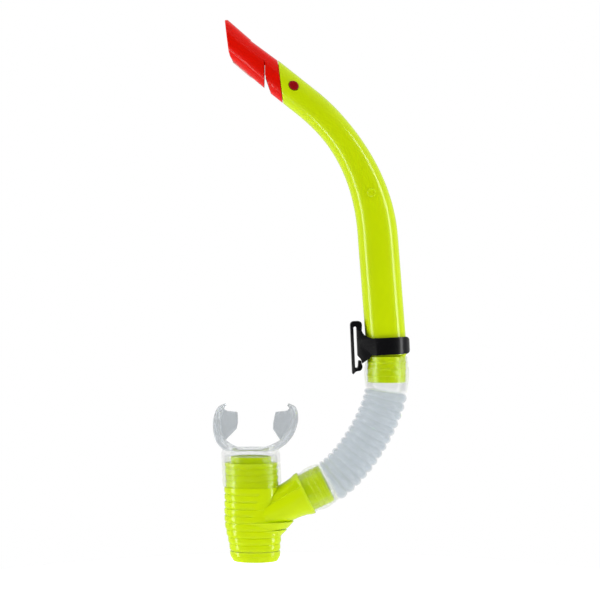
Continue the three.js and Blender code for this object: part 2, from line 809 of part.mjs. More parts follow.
function makeMouthpiece() {
  const { collarRadius, collarBore, airwayHalfWidth, airwayHalfDepth } = MOUTHPIECE;
  const { collarTop, shoulder } = CHAMBER;
  const low = shoulder + GAP;
  const collar = turned([
    [collarBore, low],
    [collarRadius, low],
    [collarRadius, collarTop],
    [0, collarTop],
    [0, collarTop - 2],
    [collarBore, collarTop - 4],
    [collarBore, low],
  ]);
  const sideOptions = { depth: 200, bevelEnabled: false, curveSegments: 8 };
  const side = new THREE.ExtrudeGeometry(flangeSide(), sideOptions);
  side.rotateX(Math.PI / 2).rotateZ(Math.PI / 2).translate(-200, 0, 0);
  const airway = rod(1, [collarTop - 8, MOUTHPIECE.floorZ + 6], FINE_SIDES);
  airway.scale(airwayHalfWidth, airwayHalfDepth, 1);
  const [rightHalf, leftHalf] = flangePlan().map((half) => solid(ontoNeck(slab(half, 30))));
  return rightHalf
    .add(leftHalf)
    .intersect(solid(side))
    .add(solid(ontoNeck(biteTab(1))))
    .add(solid(ontoNeck(biteTab(-1))))
    .add(solid(ontoChamber(collar)))
    .subtract(solid(ontoNeck(airway)))
    .subtract(solid(ontoBranch(turned(branchOutside(GAP), FINE_SIDES))));
}

// ---- Purge valve ----

const PURGE_X = CHAMBER.x + CHAMBER.drift * (PURGE.seatTop - CHAMBER.collarTop);
const SEAT_BOTTOM = PURGE.seatTop - PURGE.seatThickness;
const FLAP_TOP = SEAT_BOTTOM - GAP;
const PLUG_HALF_WIDTH = PURGE.halfWidth - CHAMBER.wall - GAP;

// An oval plate with four air holes round the hole for the flap's stem.
function makeValveSeat() {
  const { seatTop, seatHoleRadius, seatHoleCircle, stemRadius } = PURGE;
  const plate = ontoChamber(rod(PLUG_HALF_WIDTH, [SEAT_BOTTOM, seatTop], FINE_SIDES));
  const span = [SEAT_BOTTOM - 1, seatTop + 1];
  const stemHole = rod(stemRadius + GAP, span, 12).translate(PURGE_X, 0, 0);
  let seat = solid(plate).subtract(solid(stemHole));
  for (let i = 0; i < 4; i++) {
    const angle = ((i + 0.5) * Math.PI) / 2;
    const hole = rod(seatHoleRadius, span, 12);
    hole.translate(PURGE_X + seatHoleCircle * Math.cos(angle), seatHoleCircle * Math.sin(angle), 0);
    seat = seat.subtract(solid(hole));
  }
  return seat;
}

// A soft disc under the seat. Its stem goes up through the seat and ends in a bulb that keeps it there.
function makeValveFlap() {
  const { seatTop, flapRadius, flapThickness, stemRadius, bulbRadius, bulbLift } = PURGE;
  const bulb = seatTop + bulbLift;
  const profile = [
    [0, FLAP_TOP - flapThickness],
    [flapRadius, FLAP_TOP - 0.5],
    [flapRadius, FLAP_TOP],
    [stemRadius, FLAP_TOP],
    [stemRadius, bulb],
    [bulbRadius, bulb + 0.4],
    [stemRadius * 0.6, bulb + 4],
    [0, bulb + 4],
  ];
  return solid(turned(profile, FINE_SIDES).translate(PURGE_X, 0, 0));
}

// A cap whose skirt plugs into the chamber. Water leaves through three slots in its floor.
function makePurgeCover() {
  const { bottom, halfWidth, footHalfWidth, floor, slotCount, slotPitch, slotWidth, slotReach } = PURGE;
  const rim = CHAMBER.bottom - GAP;
  const wall = CHAMBER.wall;
  const skirtTop = FLAP_TOP + GAP / 2;
  const profile = [
    [0, bottom],
    [footHalfWidth - 1.6, bottom],
    [footHalfWidth, bottom + 1.2],
    [halfWidth - 0.6, bottom + 5],
    [halfWidth, rim],
    [PLUG_HALF_WIDTH, rim],
    [PLUG_HALF_WIDTH, skirtTop],
    [PLUG_HALF_WIDTH - 1.2, skirtTop],
    [PLUG_HALF_WIDTH - 1.2, rim],
    [footHalfWidth - wall, bottom + floor],
    [0, bottom + floor],
  ];
  let cover = solid(ontoChamber(turned(profile)));
  for (let i = 0; i < slotCount; i++) {
    const slot = new THREE.BoxGeometry(2 * slotReach, slotWidth, 4 * floor);
    slot.translate(PURGE_X, (i - (slotCount - 1) / 2) * slotPitch, bottom);
    cover = cover.subtract(solid(slot));
  }
  return cover;
}

// ---- Assembly ----

const snorkel = new THREE.Group();
snorkel.name = "snorkel";

// The keeper's two pieces share one tilted frame.
const buckle = new THREE.Group();
buckle.rotation.y = -KEEPER.lean;
buckle.add(
  piece("keeper_band", makeKeeperBand(), plastic(BLACK, 0.35)),
  piece("keeper_latch_arm", makeLatchArm(), plastic(BLACK, 0.35)),
);

snorkel.add(
  buckle,
  piece("barrel_tube", makeBarrel(), plastic(LIME, 0.3)),
  piece("splash_guard", makeSplashGuard(), plastic(RED, 0.3, 0.9)),
  piece("snap_button_front", makeSnapTongue(-1), plastic(DARK_RED, 0.35)),
  piece("snap_button_back", makeSnapTongue(1), plastic(DARK_RED, 0.35)),
  piece("hose_upper_cuff", makeUpperCuff(), plastic(CLEAR, 0.2, 0.45)),
  piece("corrugated_hose", makeHose(), plastic(CLEAR, 0.25, 0.6)),
  piece("hose_lower_cuff", makeLowerCuff(), plastic(CLEAR, 0.2, 0.45)),
  piece("chamber_body", makeChamber(), plastic(LIME, 0.3)),
  piece("mouthpiece", makeMouthpiece(), plastic(CLEAR, 0.25, 0.55)),
  piece("purge_valve_seat", makeValveSeat(), plastic(LIME, 0.4)),
  piece("purge_valve_flap", makeValveFlap(), plastic(CLEAR, 0.4, 0.8)),
  piece("purge_cover", makePurgeCover(), plastic(LIME, 0.3)),
);

export default snorkel;
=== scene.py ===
import json
import math

import bmesh
import bpy
import numpy as np
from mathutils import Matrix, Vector


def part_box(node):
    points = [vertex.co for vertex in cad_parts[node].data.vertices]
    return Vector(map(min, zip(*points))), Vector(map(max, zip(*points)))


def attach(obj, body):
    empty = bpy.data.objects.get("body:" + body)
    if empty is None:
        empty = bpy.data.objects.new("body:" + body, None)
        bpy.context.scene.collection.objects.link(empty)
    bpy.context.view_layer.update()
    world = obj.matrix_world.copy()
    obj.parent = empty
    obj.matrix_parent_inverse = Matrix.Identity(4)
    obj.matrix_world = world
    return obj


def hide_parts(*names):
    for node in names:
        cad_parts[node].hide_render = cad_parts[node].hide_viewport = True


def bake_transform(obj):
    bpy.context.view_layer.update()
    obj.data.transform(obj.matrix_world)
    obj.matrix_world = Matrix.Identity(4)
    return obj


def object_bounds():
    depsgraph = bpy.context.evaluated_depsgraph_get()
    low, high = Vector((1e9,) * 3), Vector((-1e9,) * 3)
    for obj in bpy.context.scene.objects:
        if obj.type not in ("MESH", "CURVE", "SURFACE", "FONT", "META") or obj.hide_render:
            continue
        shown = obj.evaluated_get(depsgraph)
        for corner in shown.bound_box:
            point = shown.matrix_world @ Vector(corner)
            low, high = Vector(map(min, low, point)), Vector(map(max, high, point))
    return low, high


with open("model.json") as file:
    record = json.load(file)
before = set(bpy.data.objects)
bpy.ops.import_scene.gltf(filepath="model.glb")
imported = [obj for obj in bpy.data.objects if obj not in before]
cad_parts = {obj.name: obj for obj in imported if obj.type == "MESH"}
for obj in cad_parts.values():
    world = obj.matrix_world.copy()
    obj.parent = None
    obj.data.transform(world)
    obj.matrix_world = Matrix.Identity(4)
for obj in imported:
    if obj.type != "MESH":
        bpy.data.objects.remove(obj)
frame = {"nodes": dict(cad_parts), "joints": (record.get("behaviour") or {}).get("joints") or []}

cad_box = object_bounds()

MM = 0.001
GAP = 0.3  # clearance between pieces that touch
SIDES = 96  # points round a large tube
SMALL_SIDES = 48  # points round a small part
AXIS = 0.1  # radius of the ring that ends a turned shape at its axis


# ---- Places from the frame ----


def node_box(node):
    """A CAD node's lowest and highest corner, in millimetres."""
    low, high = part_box(node)
    return np.array(low) / MM, np.array(high) / MM


def joint(name):
    """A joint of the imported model, by name."""
    return next(j for j in frame["joints"] if j["name"] == name)


CUFF_LOW, CUFF_HIGH = node_box("hose_upper_cuff")
CHAMBER_LOW, CHAMBER_HIGH = node_box("chamber_body")
FLAP_LOW, FLAP_HIGH = node_box("purge_valve_flap")

# ---- Driving dimensions, the same as the CAD model's ----

# The barrel's centreline is a leaning straight, an arc and a second straight.
BARREL_FOOT_X = 23.75
BARREL_LEAN = math.radians(4.4)
BARREL_TOP_TILT = math.radians(51.6)
BARREL_STRAIGHT = 86.0
BEND_RADIUS = 144.5
BEND_END = BARREL_STRAIGHT + BEND_RADIUS * (BARREL_TOP_TILT - BARREL_LEAN)
BARREL_HALF_WIDTH = 15.5
BARREL_TOP_HALF_WIDTH = 11.75
BARREL_HALF_DEPTH = 12.25
BARREL_WALL = 1.6
BARREL_SHOULDER = -6.8  # lower end of the oval stretch
JOINT_AT = 231.2  # where the splash guard meets the barrel

SPIGOT_X = (CUFF_LOW[0] + CUFF_HIGH[0]) / 2
SPIGOT_RADIUS = 14.6
SPIGOT_BORE = 12.4
BEAD_HEIGHT = 0.5
BEAD_HALF_WIDTH = 0.9
SPIGOT_BOTTOM = -27.0
SPIGOT_BEADS = (-21.7, -16.6, -11.5)

GUARD_CUT_TILT = math.radians(7)  # slant of the joint and the mouth, from the vertical
GUARD_MOUTH_X = -98.6
GUARD_WALL = 1.5
GUARD_MOUTH_HALF_WIDTH = 10.5
HOOD_START = 268.5
HOOD_STEP = 0.5
HOOD_FLARE = 0.045
SLEEVE_START = 208.0
SLEEVE_INSET = BARREL_WALL + GAP  # from the barrel's outside to the sleeve's
SLEEVE_WALL = 1.5
BUTTON_AT = 220.5
BUTTON_ABOVE = 3.0
BUTTON_HALF_LENGTH = 3.9
BUTTON_HALF_WIDTH = 3.3
TONGUE_ROOT = 229.5
TONGUE_TIP = 212.5
TONGUE_HALF_WIDTH = 4.6

# The keeper is drawn upright from the strap slot, and then leans.
KEEPER_LEAN = math.radians(2.5)
KEEPER_HALF_DEPTH = 6.5
BAR_FACE = 1.25  # the buckle's inner bar: its face at the slot
BAR_OUTER = 5.2  # and its face towards the barrel
BAR_SPLIT = 12.3  # height where the latch arm grows out of the band's bar
BAND_TOP = 6.4
BAND_BOTTOM = -6.6
BAND_WALL = 2.2
ARM_OUTER = -3.45
ARM_INNER = -1.1  # the latch arm's face at the slot
ARM_TOP = 20.0
SLOT_TOP = 15.8

HOSE_RADIUS = 16.6
HOSE_ROOT_RADIUS = 15.2
HOSE_WALL = 1.1
HOSE_PITCH = 5.9
CUFF_RADIUS = 17.3
CUFF_BORE = 15.4
CUFF_LIP = 16.1
BRANCH_TILT = math.radians(26)
BRANCH_MOUTH = np.array([-21.8, 0.0, -104.3])
BRANCH_CUFF_LENGTH = 17.5
BRANCH_BEADS = (4.0, 8.0, 12.0)  # distances of the beads from the branch's mouth
UPPER_CUFF_EXTRA = 4.0  # smooth length of the hose below its upper cuff
BRANCH_NECK_RADIUS = 14.5

CHAMBER_X = -80.8
CHAMBER_DRIFT = -0.0457
CHAMBER_DEPTH_SHARE = 0.7
COLLAR_TOP = -79.3
NECK_TOP = CHAMBER_HIGH[2]
NECK_STEP = -88.8
NECK_RADIUS = 15.6
PLUG_RADIUS = 20.2
CHAMBER_SHOULDER = -107.4
CHAMBER_BOTTOM = CHAMBER_LOW[2]
CHAMBER_WALL = 1.7
RIB_PITCH = 5.7
RIB_DEPTH = 0.75
PLUG_GROOVES = (-102.5, -97.5, -92.5)  # heights of the grooves that grip the mouthpiece's collar
GROOVE_END_X = -1.9  # the slanted line's place from the chamber's axis, at the height below
GROOVE_END_Z = -132.6
GROOVE_END_SLANT = 0.37

COLLAR_RADIUS = 22.7
COLLAR_BORE = 20.5
MOUTHPIECE_LEAN = 0.13
FLANGE_HALF_WIDTH = 32.5
FLANGE_HALF_HEIGHT = 19.0
FLANGE_TIP_Z = node_box("mouthpiece")[1][2]
FLANGE_FLOOR_Z = -77.8
WIDEST_Z = -56.5

COVER_HALF_WIDTH = 19.3
COVER_FOOT_HALF_WIDTH = 17.4
COVER_FLOOR = 1.6
COVER_BOTTOM = node_box("purge_cover")[0][2]
SEAT_TOP = -151.1


# ---- Mesh helpers ----


def circle(sides=SIDES):
    """Cosines and sines round a ring."""
    angle = np.linspace(0, 2 * math.pi, sides, endpoint=False)
    return np.cos(angle), np.sin(angle)


def mesh_piece(name, points, faces, smooth_angle=35):
    """A new object from points in millimetres, smooth where its faces meet at a small angle."""
    mesh = bpy.data.meshes.new(name)
    mesh.from_pydata((np.asarray(points) * MM).tolist(), [], faces)
    mesh.update()
    piece = bpy.data.objects.new(name, mesh)
    bpy.context.scene.collection.objects.link(piece)
    outward(piece)
    smooth(piece, smooth_angle)
    return piece


def outward(piece):
    """Turns a closed mesh's faces to point out."""
    grid = bmesh.new()
    grid.from_mesh(piece.data)
    bmesh.ops.recalc_face_normals(grid, faces=grid.faces)
    grid.to_mesh(piece.data)
    grid.free()


def smooth(piece, angle):
    """Smooth shading, with a crisp edge where faces meet at more than the angle in degrees."""
    piece.data.shade_smooth()
    piece.data.set_sharp_from_angle(angle=math.radians(angle))


def loft(name, rings, loop=False, smooth_angle=35):
    """Joins rings of points. As a loop the last ring meets the first, else both ends are capped."""
    rings = np.asarray(rings)
    count, sides, _ = rings.shape
    faces = []
    for i in range(count if loop else count - 1):
        this, following = i * sides, (i + 1) % count * sides
        for k in range(sides):
            n = (k + 1) % sides
            faces.append((this + k, this + n, following + n, following + k))
    if not loop:
        faces.append(tuple(range(sides))[::-1])
        faces.append(tuple(range((count - 1) * sides, count * sides)))
    return mesh_piece(name, rings.reshape(-1, 3), faces, smooth_angle)


def turned_rings(profile, sides=SIDES):
    """Rings about the Z axis from (radius, height) points."""
    cos, sin = circle(sides)
    return np.array([np.stack([r * cos, r * sin, np.full(sides, z)], -1) for r, z in profile])


def moved(rings, rule):
    """Rings with each point moved by a rule on arrays of points."""
    rings = np.asarray(rings)
    return rule(rings.reshape(-1, 3)).reshape(rings.shape)


def turned(name, profile, rule, **options):
    """A profile turned about Z and then laid out by a rule."""
    return loft(name, moved(turned_rings(profile), rule), **options)


def slab(name, outline, half_depth):
    """A flat outline in X and Z, given depth along Y."""
    outline = np.asarray(outline)
    rings = [np.insert(outline, 1, y, axis=1) for y in (-half_depth, half_depth)]
    return loft(name, rings)


def arc(centre, radius, start, end, steps=8):
    """Points of a round stretch of an outline, between two angles in degrees."""
    angle = np.radians(np.linspace(start, end, steps + 1))
    return np.stack([centre[0] + radius * np.cos(angle), centre[1] + radius * np.sin(angle)], -1)


def curve_to(start, handle, end, steps=8):
    """Points of a quadratic curve, without its first one."""
    t = np.linspace(0, 1, steps + 1)[1:, None]
    start, handle, end = (np.asarray(p, float) for p in (start, handle, end))
    return (1 - t) ** 2 * start + 2 * t * (1 - t) * handle + t**2 * end


def reshape(piece, rule):
    """Moves a piece's vertices by a rule on arrays of points in millimetres."""
    points = np.array([vertex.co[:] for vertex in piece.data.vertices]) / MM
    for vertex, point in zip(piece.data.vertices, rule(points)):
        vertex.co = point * MM
    piece.data.update()


def settle(piece):
    """Applies a piece's modifiers to its mesh."""
    graph = bpy.context.evaluated_depsgraph_get()
    mesh = bpy.data.meshes.new_from_object(piece.evaluated_get(graph))
    piece.modifiers.clear()
    piece.data = mesh


def combine(piece, other, operation, smooth_angle=35):
    """Joins, cuts or intersects a piece with another, which is used up."""
    modifier = piece.modifiers.new("combine", "BOOLEAN")
    modifier.object = other
    modifier.operation = operation
    modifier.solver = "EXACT"
    settle(piece)
    bpy.data.objects.remove(other)
    smooth(piece, smooth_angle)


def round_edges(piece, width, segments):
    """Rounds a piece's sharp edges, with the width in millimetres."""
    modifier = piece.modifiers.new("round", "BEVEL")
    modifier.width = width * MM
    modifier.segments = segments
    modifier.limit_method = "ANGLE"
    modifier.angle_limit = math.radians(50)
    modifier.use_clamp_overlap = True
    settle(piece)
    smooth(piece, 35)


def even_shading(piece):
    """Shades broad faces flat where a cut has left long thin faces beside them."""
    modifier = piece.modifiers.new("shading", "WEIGHTED_NORMAL")
    modifier.keep_sharp = True
    settle(piece)


def finish_piece(piece, material, slot, body, *nodes):
    """Gives a piece its material and its body, and hides the CAD nodes that it stands for."""
    piece.data.materials.clear()
    piece.data.materials.append(material)
    if body:
        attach(piece, body)
    if nodes:
        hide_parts(*nodes)


def smoothstep(value, low, high):
    """0 up to the low value and 1 from the high one, with an eased change between them."""
    share = np.clip((value - low) / (high - low), 0, 1)
    return share * share * (3 - 2 * share)


# ---- Materials ----


def set_inputs(node, values):
    """Sets a node's inputs by name or number."""
    for key, value in values.items():
        node.inputs[key].default_value = value


def add_node(tree, kind, **settings):
    """A new node. Each setting is the value of one of its inputs, or else a property."""
    node = tree.nodes.new(kind)
    for key, value in settings.items():
        if key in node.inputs:
            node.inputs[key].default_value = value
        else:
            setattr(node, key, value)
    return node


def add_range(tree, value, low, high, to_low, to_high):
    """The output of a node that maps a value's range onto another."""
    limits = {"From Min": low, "From Max": high, "To Min": to_low, "To Max": to_high}
    node = add_node(tree, "ShaderNodeMapRange", **limits)
    tree.links.new(value, node.inputs["Value"])
    return node.outputs["Result"]


def new_material(name):
    """A node material, with its node tree and its shader."""
    material = bpy.data.materials.new(name)
    material.use_nodes = True
    return material, material.node_tree, material.node_tree.nodes["Principled BSDF"]


def moulded(name, colour, roughness, variation=0.06, grain=0.04, grain_scale=900.0, wear=0.12):
    """Moulded plastic or silicone: slow colour variation, handling marks, fine grain and paler edges."""
    material, tree, shader = new_material(name)
    link = tree.links.new
    place = add_node(tree, "ShaderNodeTexCoord").outputs["Object"]

    slow = add_node(tree, "ShaderNodeTexNoise", Scale=22.0, Detail=3.0)
    link(place, slow.inputs["Vector"])
    tint = add_node(tree, "ShaderNodeValToRGB")
    darker = [c * (1 - variation) for c in colour]
    tint.color_ramp.elements[0].color = (*darker, 1)
    tint.color_ramp.elements[0].position = 0.3
    tint.color_ramp.elements[1].color = (*colour, 1)
    tint.color_ramp.elements[1].position = 0.7
    link(slow.outputs["Fac"], tint.inputs["Fac"])

    pointiness = add_node(tree, "ShaderNodeNewGeometry").outputs["Pointiness"]
    worn = add_node(tree, "ShaderNodeMix", data_type="RGBA")
    paler = [c + (1 - c) * 0.45 for c in colour]
    worn.inputs[7].default_value = (*paler, 1)
    link(add_range(tree, pointiness, 0.53, 0.62, 0.0, wear), worn.inputs[0])
    link(tint.outputs["Color"], worn.inputs[6])
    link(worn.outputs[2], shader.inputs["Base Color"])

    marks = add_node(tree, "ShaderNodeTexNoise", Scale=140.0, Detail=4.0, Roughness=0.6)
    link(place, marks.inputs["Vector"])
    polish = add_range(tree, marks.outputs["Fac"], 0.0, 1.0, roughness * 0.8, roughness * 1.25)
    link(polish, shader.inputs["Roughness"])

    fine = add_node(tree, "ShaderNodeTexNoise", Scale=grain_scale, Detail=2.0)
    link(place, fine.inputs["Vector"])
    bump = add_node(tree, "ShaderNodeBump", Strength=grain, Distance=0.0002)
    link(fine.outputs["Fac"], bump.inputs["Height"])
    link(bump.outputs["Normal"], shader.inputs["Normal"])
    return material, shader


def lime_plastic():
    """Bright yellow-green plastic that lets a little light in."""
    material, shader = moulded("lime_plastic", (0.64, 0.82, 0.0), 0.16, grain=0.004)
    set_inputs(shader, {
        "Subsurface Weight": 0.15, "Subsurface Radius": (0.6, 0.8, 0.1), "Subsurface Scale": 0.002,
        "Specular IOR Level": 0.4,
    })
    return material


def red_plastic():
    """The guard's slightly translucent red."""
    material, shader = moulded("red_plastic", (0.9, 0.006, 0.0), 0.2, variation=0.08, grain=0.006)
    set_inputs(shader, {
        "Transmission Weight": 0.12, "Subsurface Weight": 0.2, "Subsurface Radius": (1.0, 0.1, 0.05),
        "Subsurface Scale": 0.003, "Specular IOR Level": 0.22,
    })
    return material


def pink_edge():
    """The pale light that the guard's lower edge catches, as a material for its rib."""
    material, shader = moulded("pink_edge", (0.98, 0.6, 0.55), 0.25, grain=0.02)
    set_inputs(shader, {"Transmission Weight": 0.3})
    return material


def dark_red_plastic():
    """The snap buttons' red: the guard's sleeve plastic, darkened as painted shade for the hole in the
    barrel that each button sits in.
    """
    # Painted shade: a darker copy of the guard's red.
    material, shader = moulded("dark_red_plastic", (0.32, 0.002, 0.006), 0.25, variation=0.15)
    set_inputs(shader, {"Specular IOR Level": 0.3})
    return material


def black_plastic():
    """The keeper's satin black."""
    look = {"variation": 0.3, "grain": 0.05, "wear": 0.06}
    material, shader = moulded("black_plastic", (0.004, 0.004, 0.005), 0.24, **look)
    set_inputs(shader, {"Specular IOR Level": 0.3})
    return material


def add_dimples(tree, shader, strength):
    """Presses small round dimples into a material's surface, and darkens its colour in their hollows as
    painted shade.
    """
    link = tree.links.new
    paint = shader.inputs["Base Color"].links[0].from_socket
    fine_normal = shader.inputs["Normal"].links[0].from_socket
    place = add_node(tree, "ShaderNodeTexCoord")
    cells = add_node(tree, "ShaderNodeTexVoronoi", Scale=620.0)
    link(place.outputs["Object"], cells.inputs["Vector"])
    # Painted shade: the colour is darkened towards the bottom of each dimple.
    shade = add_node(tree, "ShaderNodeMix", data_type="RGBA", blend_type="MULTIPLY")
    shade.inputs[0].default_value = strength
    link(paint, shade.inputs[6])
    link(cells.outputs["Distance"], shade.inputs[7])
    link(shade.outputs[2], shader.inputs["Base Color"])
    bump = add_node(tree, "ShaderNodeBump", Strength=strength, Distance=0.0003)
    link(cells.outputs["Distance"], bump.inputs["Height"])
    link(fine_normal, bump.inputs["Normal"])
    link(bump.outputs["Normal"], shader.inputs["Normal"])


def clear_silicone(name, colour, roughness, transmission, alpha, dimples=0.0):
    """Soft clear silicone. Alpha is how much one surface of it hides of what lies behind."""
    look = {"variation": 0.03, "grain": 0.03, "grain_scale": 500.0, "wear": 0.3}
    material, shader = moulded(name, colour, roughness, **look)
    if dimples:
        add_dimples(material.node_tree, shader, dimples)
    set_inputs(shader, {"Transmission Weight": transmission, "IOR": 1.41, "Alpha": alpha})
    return material


# ---- Camera, lights and floor ----


def make_camera():
    """Looks straight along +Y at the middle of the photograph's view."""
    frame_width_m = 0.462  # width seen at the object's middle plane
    distance_m = 1.2
    data = bpy.data.cameras.new("camera")
    data.sensor_width = 36
    data.lens = data.sensor_width * distance_m / frame_width_m
    camera = bpy.data.objects.new("camera", data)
    camera.location = (-0.0427, -distance_m, 0.0362)
    camera.rotation_euler = (math.radians(90), 0, 0)
    bpy.context.scene.collection.objects.link(camera)
    bpy.context.scene.camera = camera


def softbox(name, place, width, height, power, mirrored=True):
    """A rectangular light that faces the object. Only a mirrored one shows in its gloss."""
    target = Vector((-0.04, 0.0, 0.04))
    data = bpy.data.lights.new(name, "AREA")
    data.shape = "RECTANGLE"
    data.size = width
    data.size_y = height
    data.energy = power
    light = bpy.data.objects.new(name, data)
    light.location = place
    light.rotation_euler = (target - Vector(place)).to_track_quat("-Z", "Y").to_euler()
    light.visible_glossy = mirrored
    bpy.context.scene.collection.objects.link(light)


def make_lights():
    """A tall softbox at each side, a soft top light and a soft back light."""
    softbox("left_box", (-0.95, -0.35, 0.1), 0.2, 1.6, 7.5)
    softbox("right_box", (0.9, -0.35, 0.1), 0.2, 1.6, 7.5)
    softbox("top_box", (-0.04, -0.4, 1.1), 1.0, 1.0, 5.0, mirrored=False)
    softbox("back_box", (-0.04, 1.2, 0.5), 1.4, 1.0, 3.0, mirrored=False)


def make_world():
    """Plain white behind the object. Its light is dimmer at the front than at the back."""
    world = bpy.data.worlds.new("studio")
    bpy.context.scene.world = world
    world.use_nodes = True
    tree = world.node_tree
    background = tree.nodes["Background"]
    background.inputs["Color"].default_value = (1, 1, 1, 1)
    direction = add_node(tree, "ShaderNodeTexCoord")
    parts = add_node(tree, "ShaderNodeSeparateXYZ")
    tree.links.new(direction.outputs["Generated"], parts.inputs["Vector"])
    ambient = add_range(tree, parts.outputs["Y"], -0.9, 0.6, 0.08, 0.62)
    path = add_node(tree, "ShaderNodeLightPath")
    strength = add_node(tree, "ShaderNodeMix")
    tree.links.new(path.outputs["Is Camera Ray"], strength.inputs[0])
    tree.links.new(ambient, strength.inputs[2])
    strength.inputs[3].default_value = 1.0
    tree.links.new(strength.outputs[0], background.inputs["Strength"])
    bpy.context.scene.view_settings.view_transform = "Standard"


def make_floor():
    """A round pale floor that fades into white, below the lowest place the chamber slides to."""
    material, tree, shader = new_material("pale_floor")
    set_inputs(shader, {
        "Base Color": (0.85, 0.85, 0.85, 1), "Roughness": 0.9, "Emission Color": (1, 1, 1, 1),
    })
    radius_m = 0.5
    place = add_node(tree, "ShaderNodeTexCoord")
    reach = add_node(tree, "ShaderNodeVectorMath", operation="LENGTH")
    tree.links.new(place.outputs["Object"], reach.inputs[0])
    glow = add_range(tree, reach.outputs["Value"], radius_m * 0.4, radius_m * 0.9, 0.42, 1.0)
    tree.links.new(glow, shader.inputs["Emission Strength"])
    slide_m = joint("barrel_slide")["range_m"][1]
    room_m = 0.01
    cos, sin = circle()
    radius = radius_m / MM
    rim = np.stack([radius * cos, radius * sin, 0 * cos], -1)
    floor = mesh_piece("floor", rim, [tuple(range(len(cos)))])
    floor.location = (cad_box[0][0] * 0.4, 0, cad_box[0][2] - slide_m - room_m)
    floor.data.materials.append(material)
    floor.visible_glossy = False


# ---- The barrel's centreline ----


def barrel_line(s):
    """Place and tilt of the centreline at a distance s from the height of the strap slot."""
    tilt = np.clip(BARREL_LEAN + (s - BARREL_STRAIGHT) / BEND_RADIUS, BARREL_LEAN, BARREL_TOP_TILT)
    before = np.minimum(s, BARREL_STRAIGHT)
    after = np.maximum(s - BEND_END, 0)
    x = BARREL_FOOT_X - before * math.sin(BARREL_LEAN) - after * np.sin(tilt)
    x = x + BEND_RADIUS * (np.cos(tilt) - math.cos(BARREL_LEAN))
    z = before * math.cos(BARREL_LEAN) + after * np.cos(tilt)
    z = z + BEND_RADIUS * (np.sin(tilt) - math.sin(BARREL_LEAN))
    return x, z, tilt


def onto_barrel(across, depth, s):
    """Carries points of a straight tube onto the centreline."""
    x, z, tilt = barrel_line(s)
    return np.stack([x + across * np.cos(tilt), depth + 0 * x, z + across * np.sin(tilt)], -1)


def barrel_half_width(s):
    """The barrel narrows through its bend."""
    share = smoothstep(s, 80, 180)
    return BARREL_HALF_WIDTH + (BARREL_TOP_HALF_WIDTH - BARREL_HALF_WIDTH) * share


def to_plane(s, across):
    """Distance along the top straight where a line at that offset meets the slanted plane through s."""
    return s + across / math.tan(BARREL_TOP_TILT - GUARD_CUT_TILT)


def distance_at_x(x):
    """Distance along the centreline's top straight where it crosses X."""
    end_x = float(barrel_line(np.array(BEND_END))[0])
    return BEND_END + (end_x - x) / math.sin(BARREL_TOP_TILT)


# ---- Barrel ----


def barrel_ring(s, inset):
    """An oval ring square to the centreline, inside the barrel's surface by the inset."""
    cos, sin = circle()
    half = barrel_half_width(s) - inset
    return onto_barrel(half * cos, (BARREL_HALF_DEPTH - inset) * sin, s + 0 * cos)


def barrel_end_ring(share, inset, pull=0.0):
    """A ring between the end of the bend, at share 0, and the slanted joint, at share 1."""
    cos, sin = circle()
    across = (BARREL_TOP_HALF_WIDTH - inset) * cos
    end = to_plane(JOINT_AT, across) - pull
    s = BEND_END + (end - BEND_END) * share
    return onto_barrel(across, (BARREL_HALF_DEPTH - inset) * sin, s)


def spigot_ring(radius, z):
    """A round, level ring about the spigot's axis."""
    return turned_rings([(radius, z)])[0] + np.array([SPIGOT_X, 0, 0])


def bead_profile(z):
    """(radius, height) up a rounded sealing bead of a spigot."""
    return [
        (SPIGOT_RADIUS + BEAD_HEIGHT * math.cos(math.pi / 2 * t), z + BEAD_HALF_WIDTH * t)
        for t in np.linspace(-1, 1, 7)
    ]


def button_oval(share=1, grow=0):
    """Outline of a share of the snap button in X and Z, larger by an amount all round."""
    x, z, tilt = (float(v) for v in barrel_line(np.array(BUTTON_AT)))
    cos, sin = circle(SMALL_SIDES)
    across = BUTTON_ABOVE + (share * BUTTON_HALF_WIDTH + grow) * cos
    along = (share * BUTTON_HALF_LENGTH + grow) * sin
    outline_x = x + across * math.cos(tilt) - along * math.sin(tilt)
    outline_z = z + across * math.sin(tilt) + along * math.cos(tilt)
    return np.stack([outline_x, outline_z], -1)


def button_hole():
    """A rod through both walls of the barrel, which widens to a chamfer at their outer faces."""
    surface = BARREL_HALF_DEPTH - 0.35
    rim = surface - 0.5
    gap = 0.15
    wide_gap = 0.6
    reach = 30
    steps = [(rim, gap), (surface, wide_gap), (reach, 3)]
    steps = [(-y, grow) for y, grow in steps[::-1]] + steps
    rings = [np.insert(button_oval(grow=grow), 1, y, axis=1) for y, grow in steps]
    return loft("hole", rings)


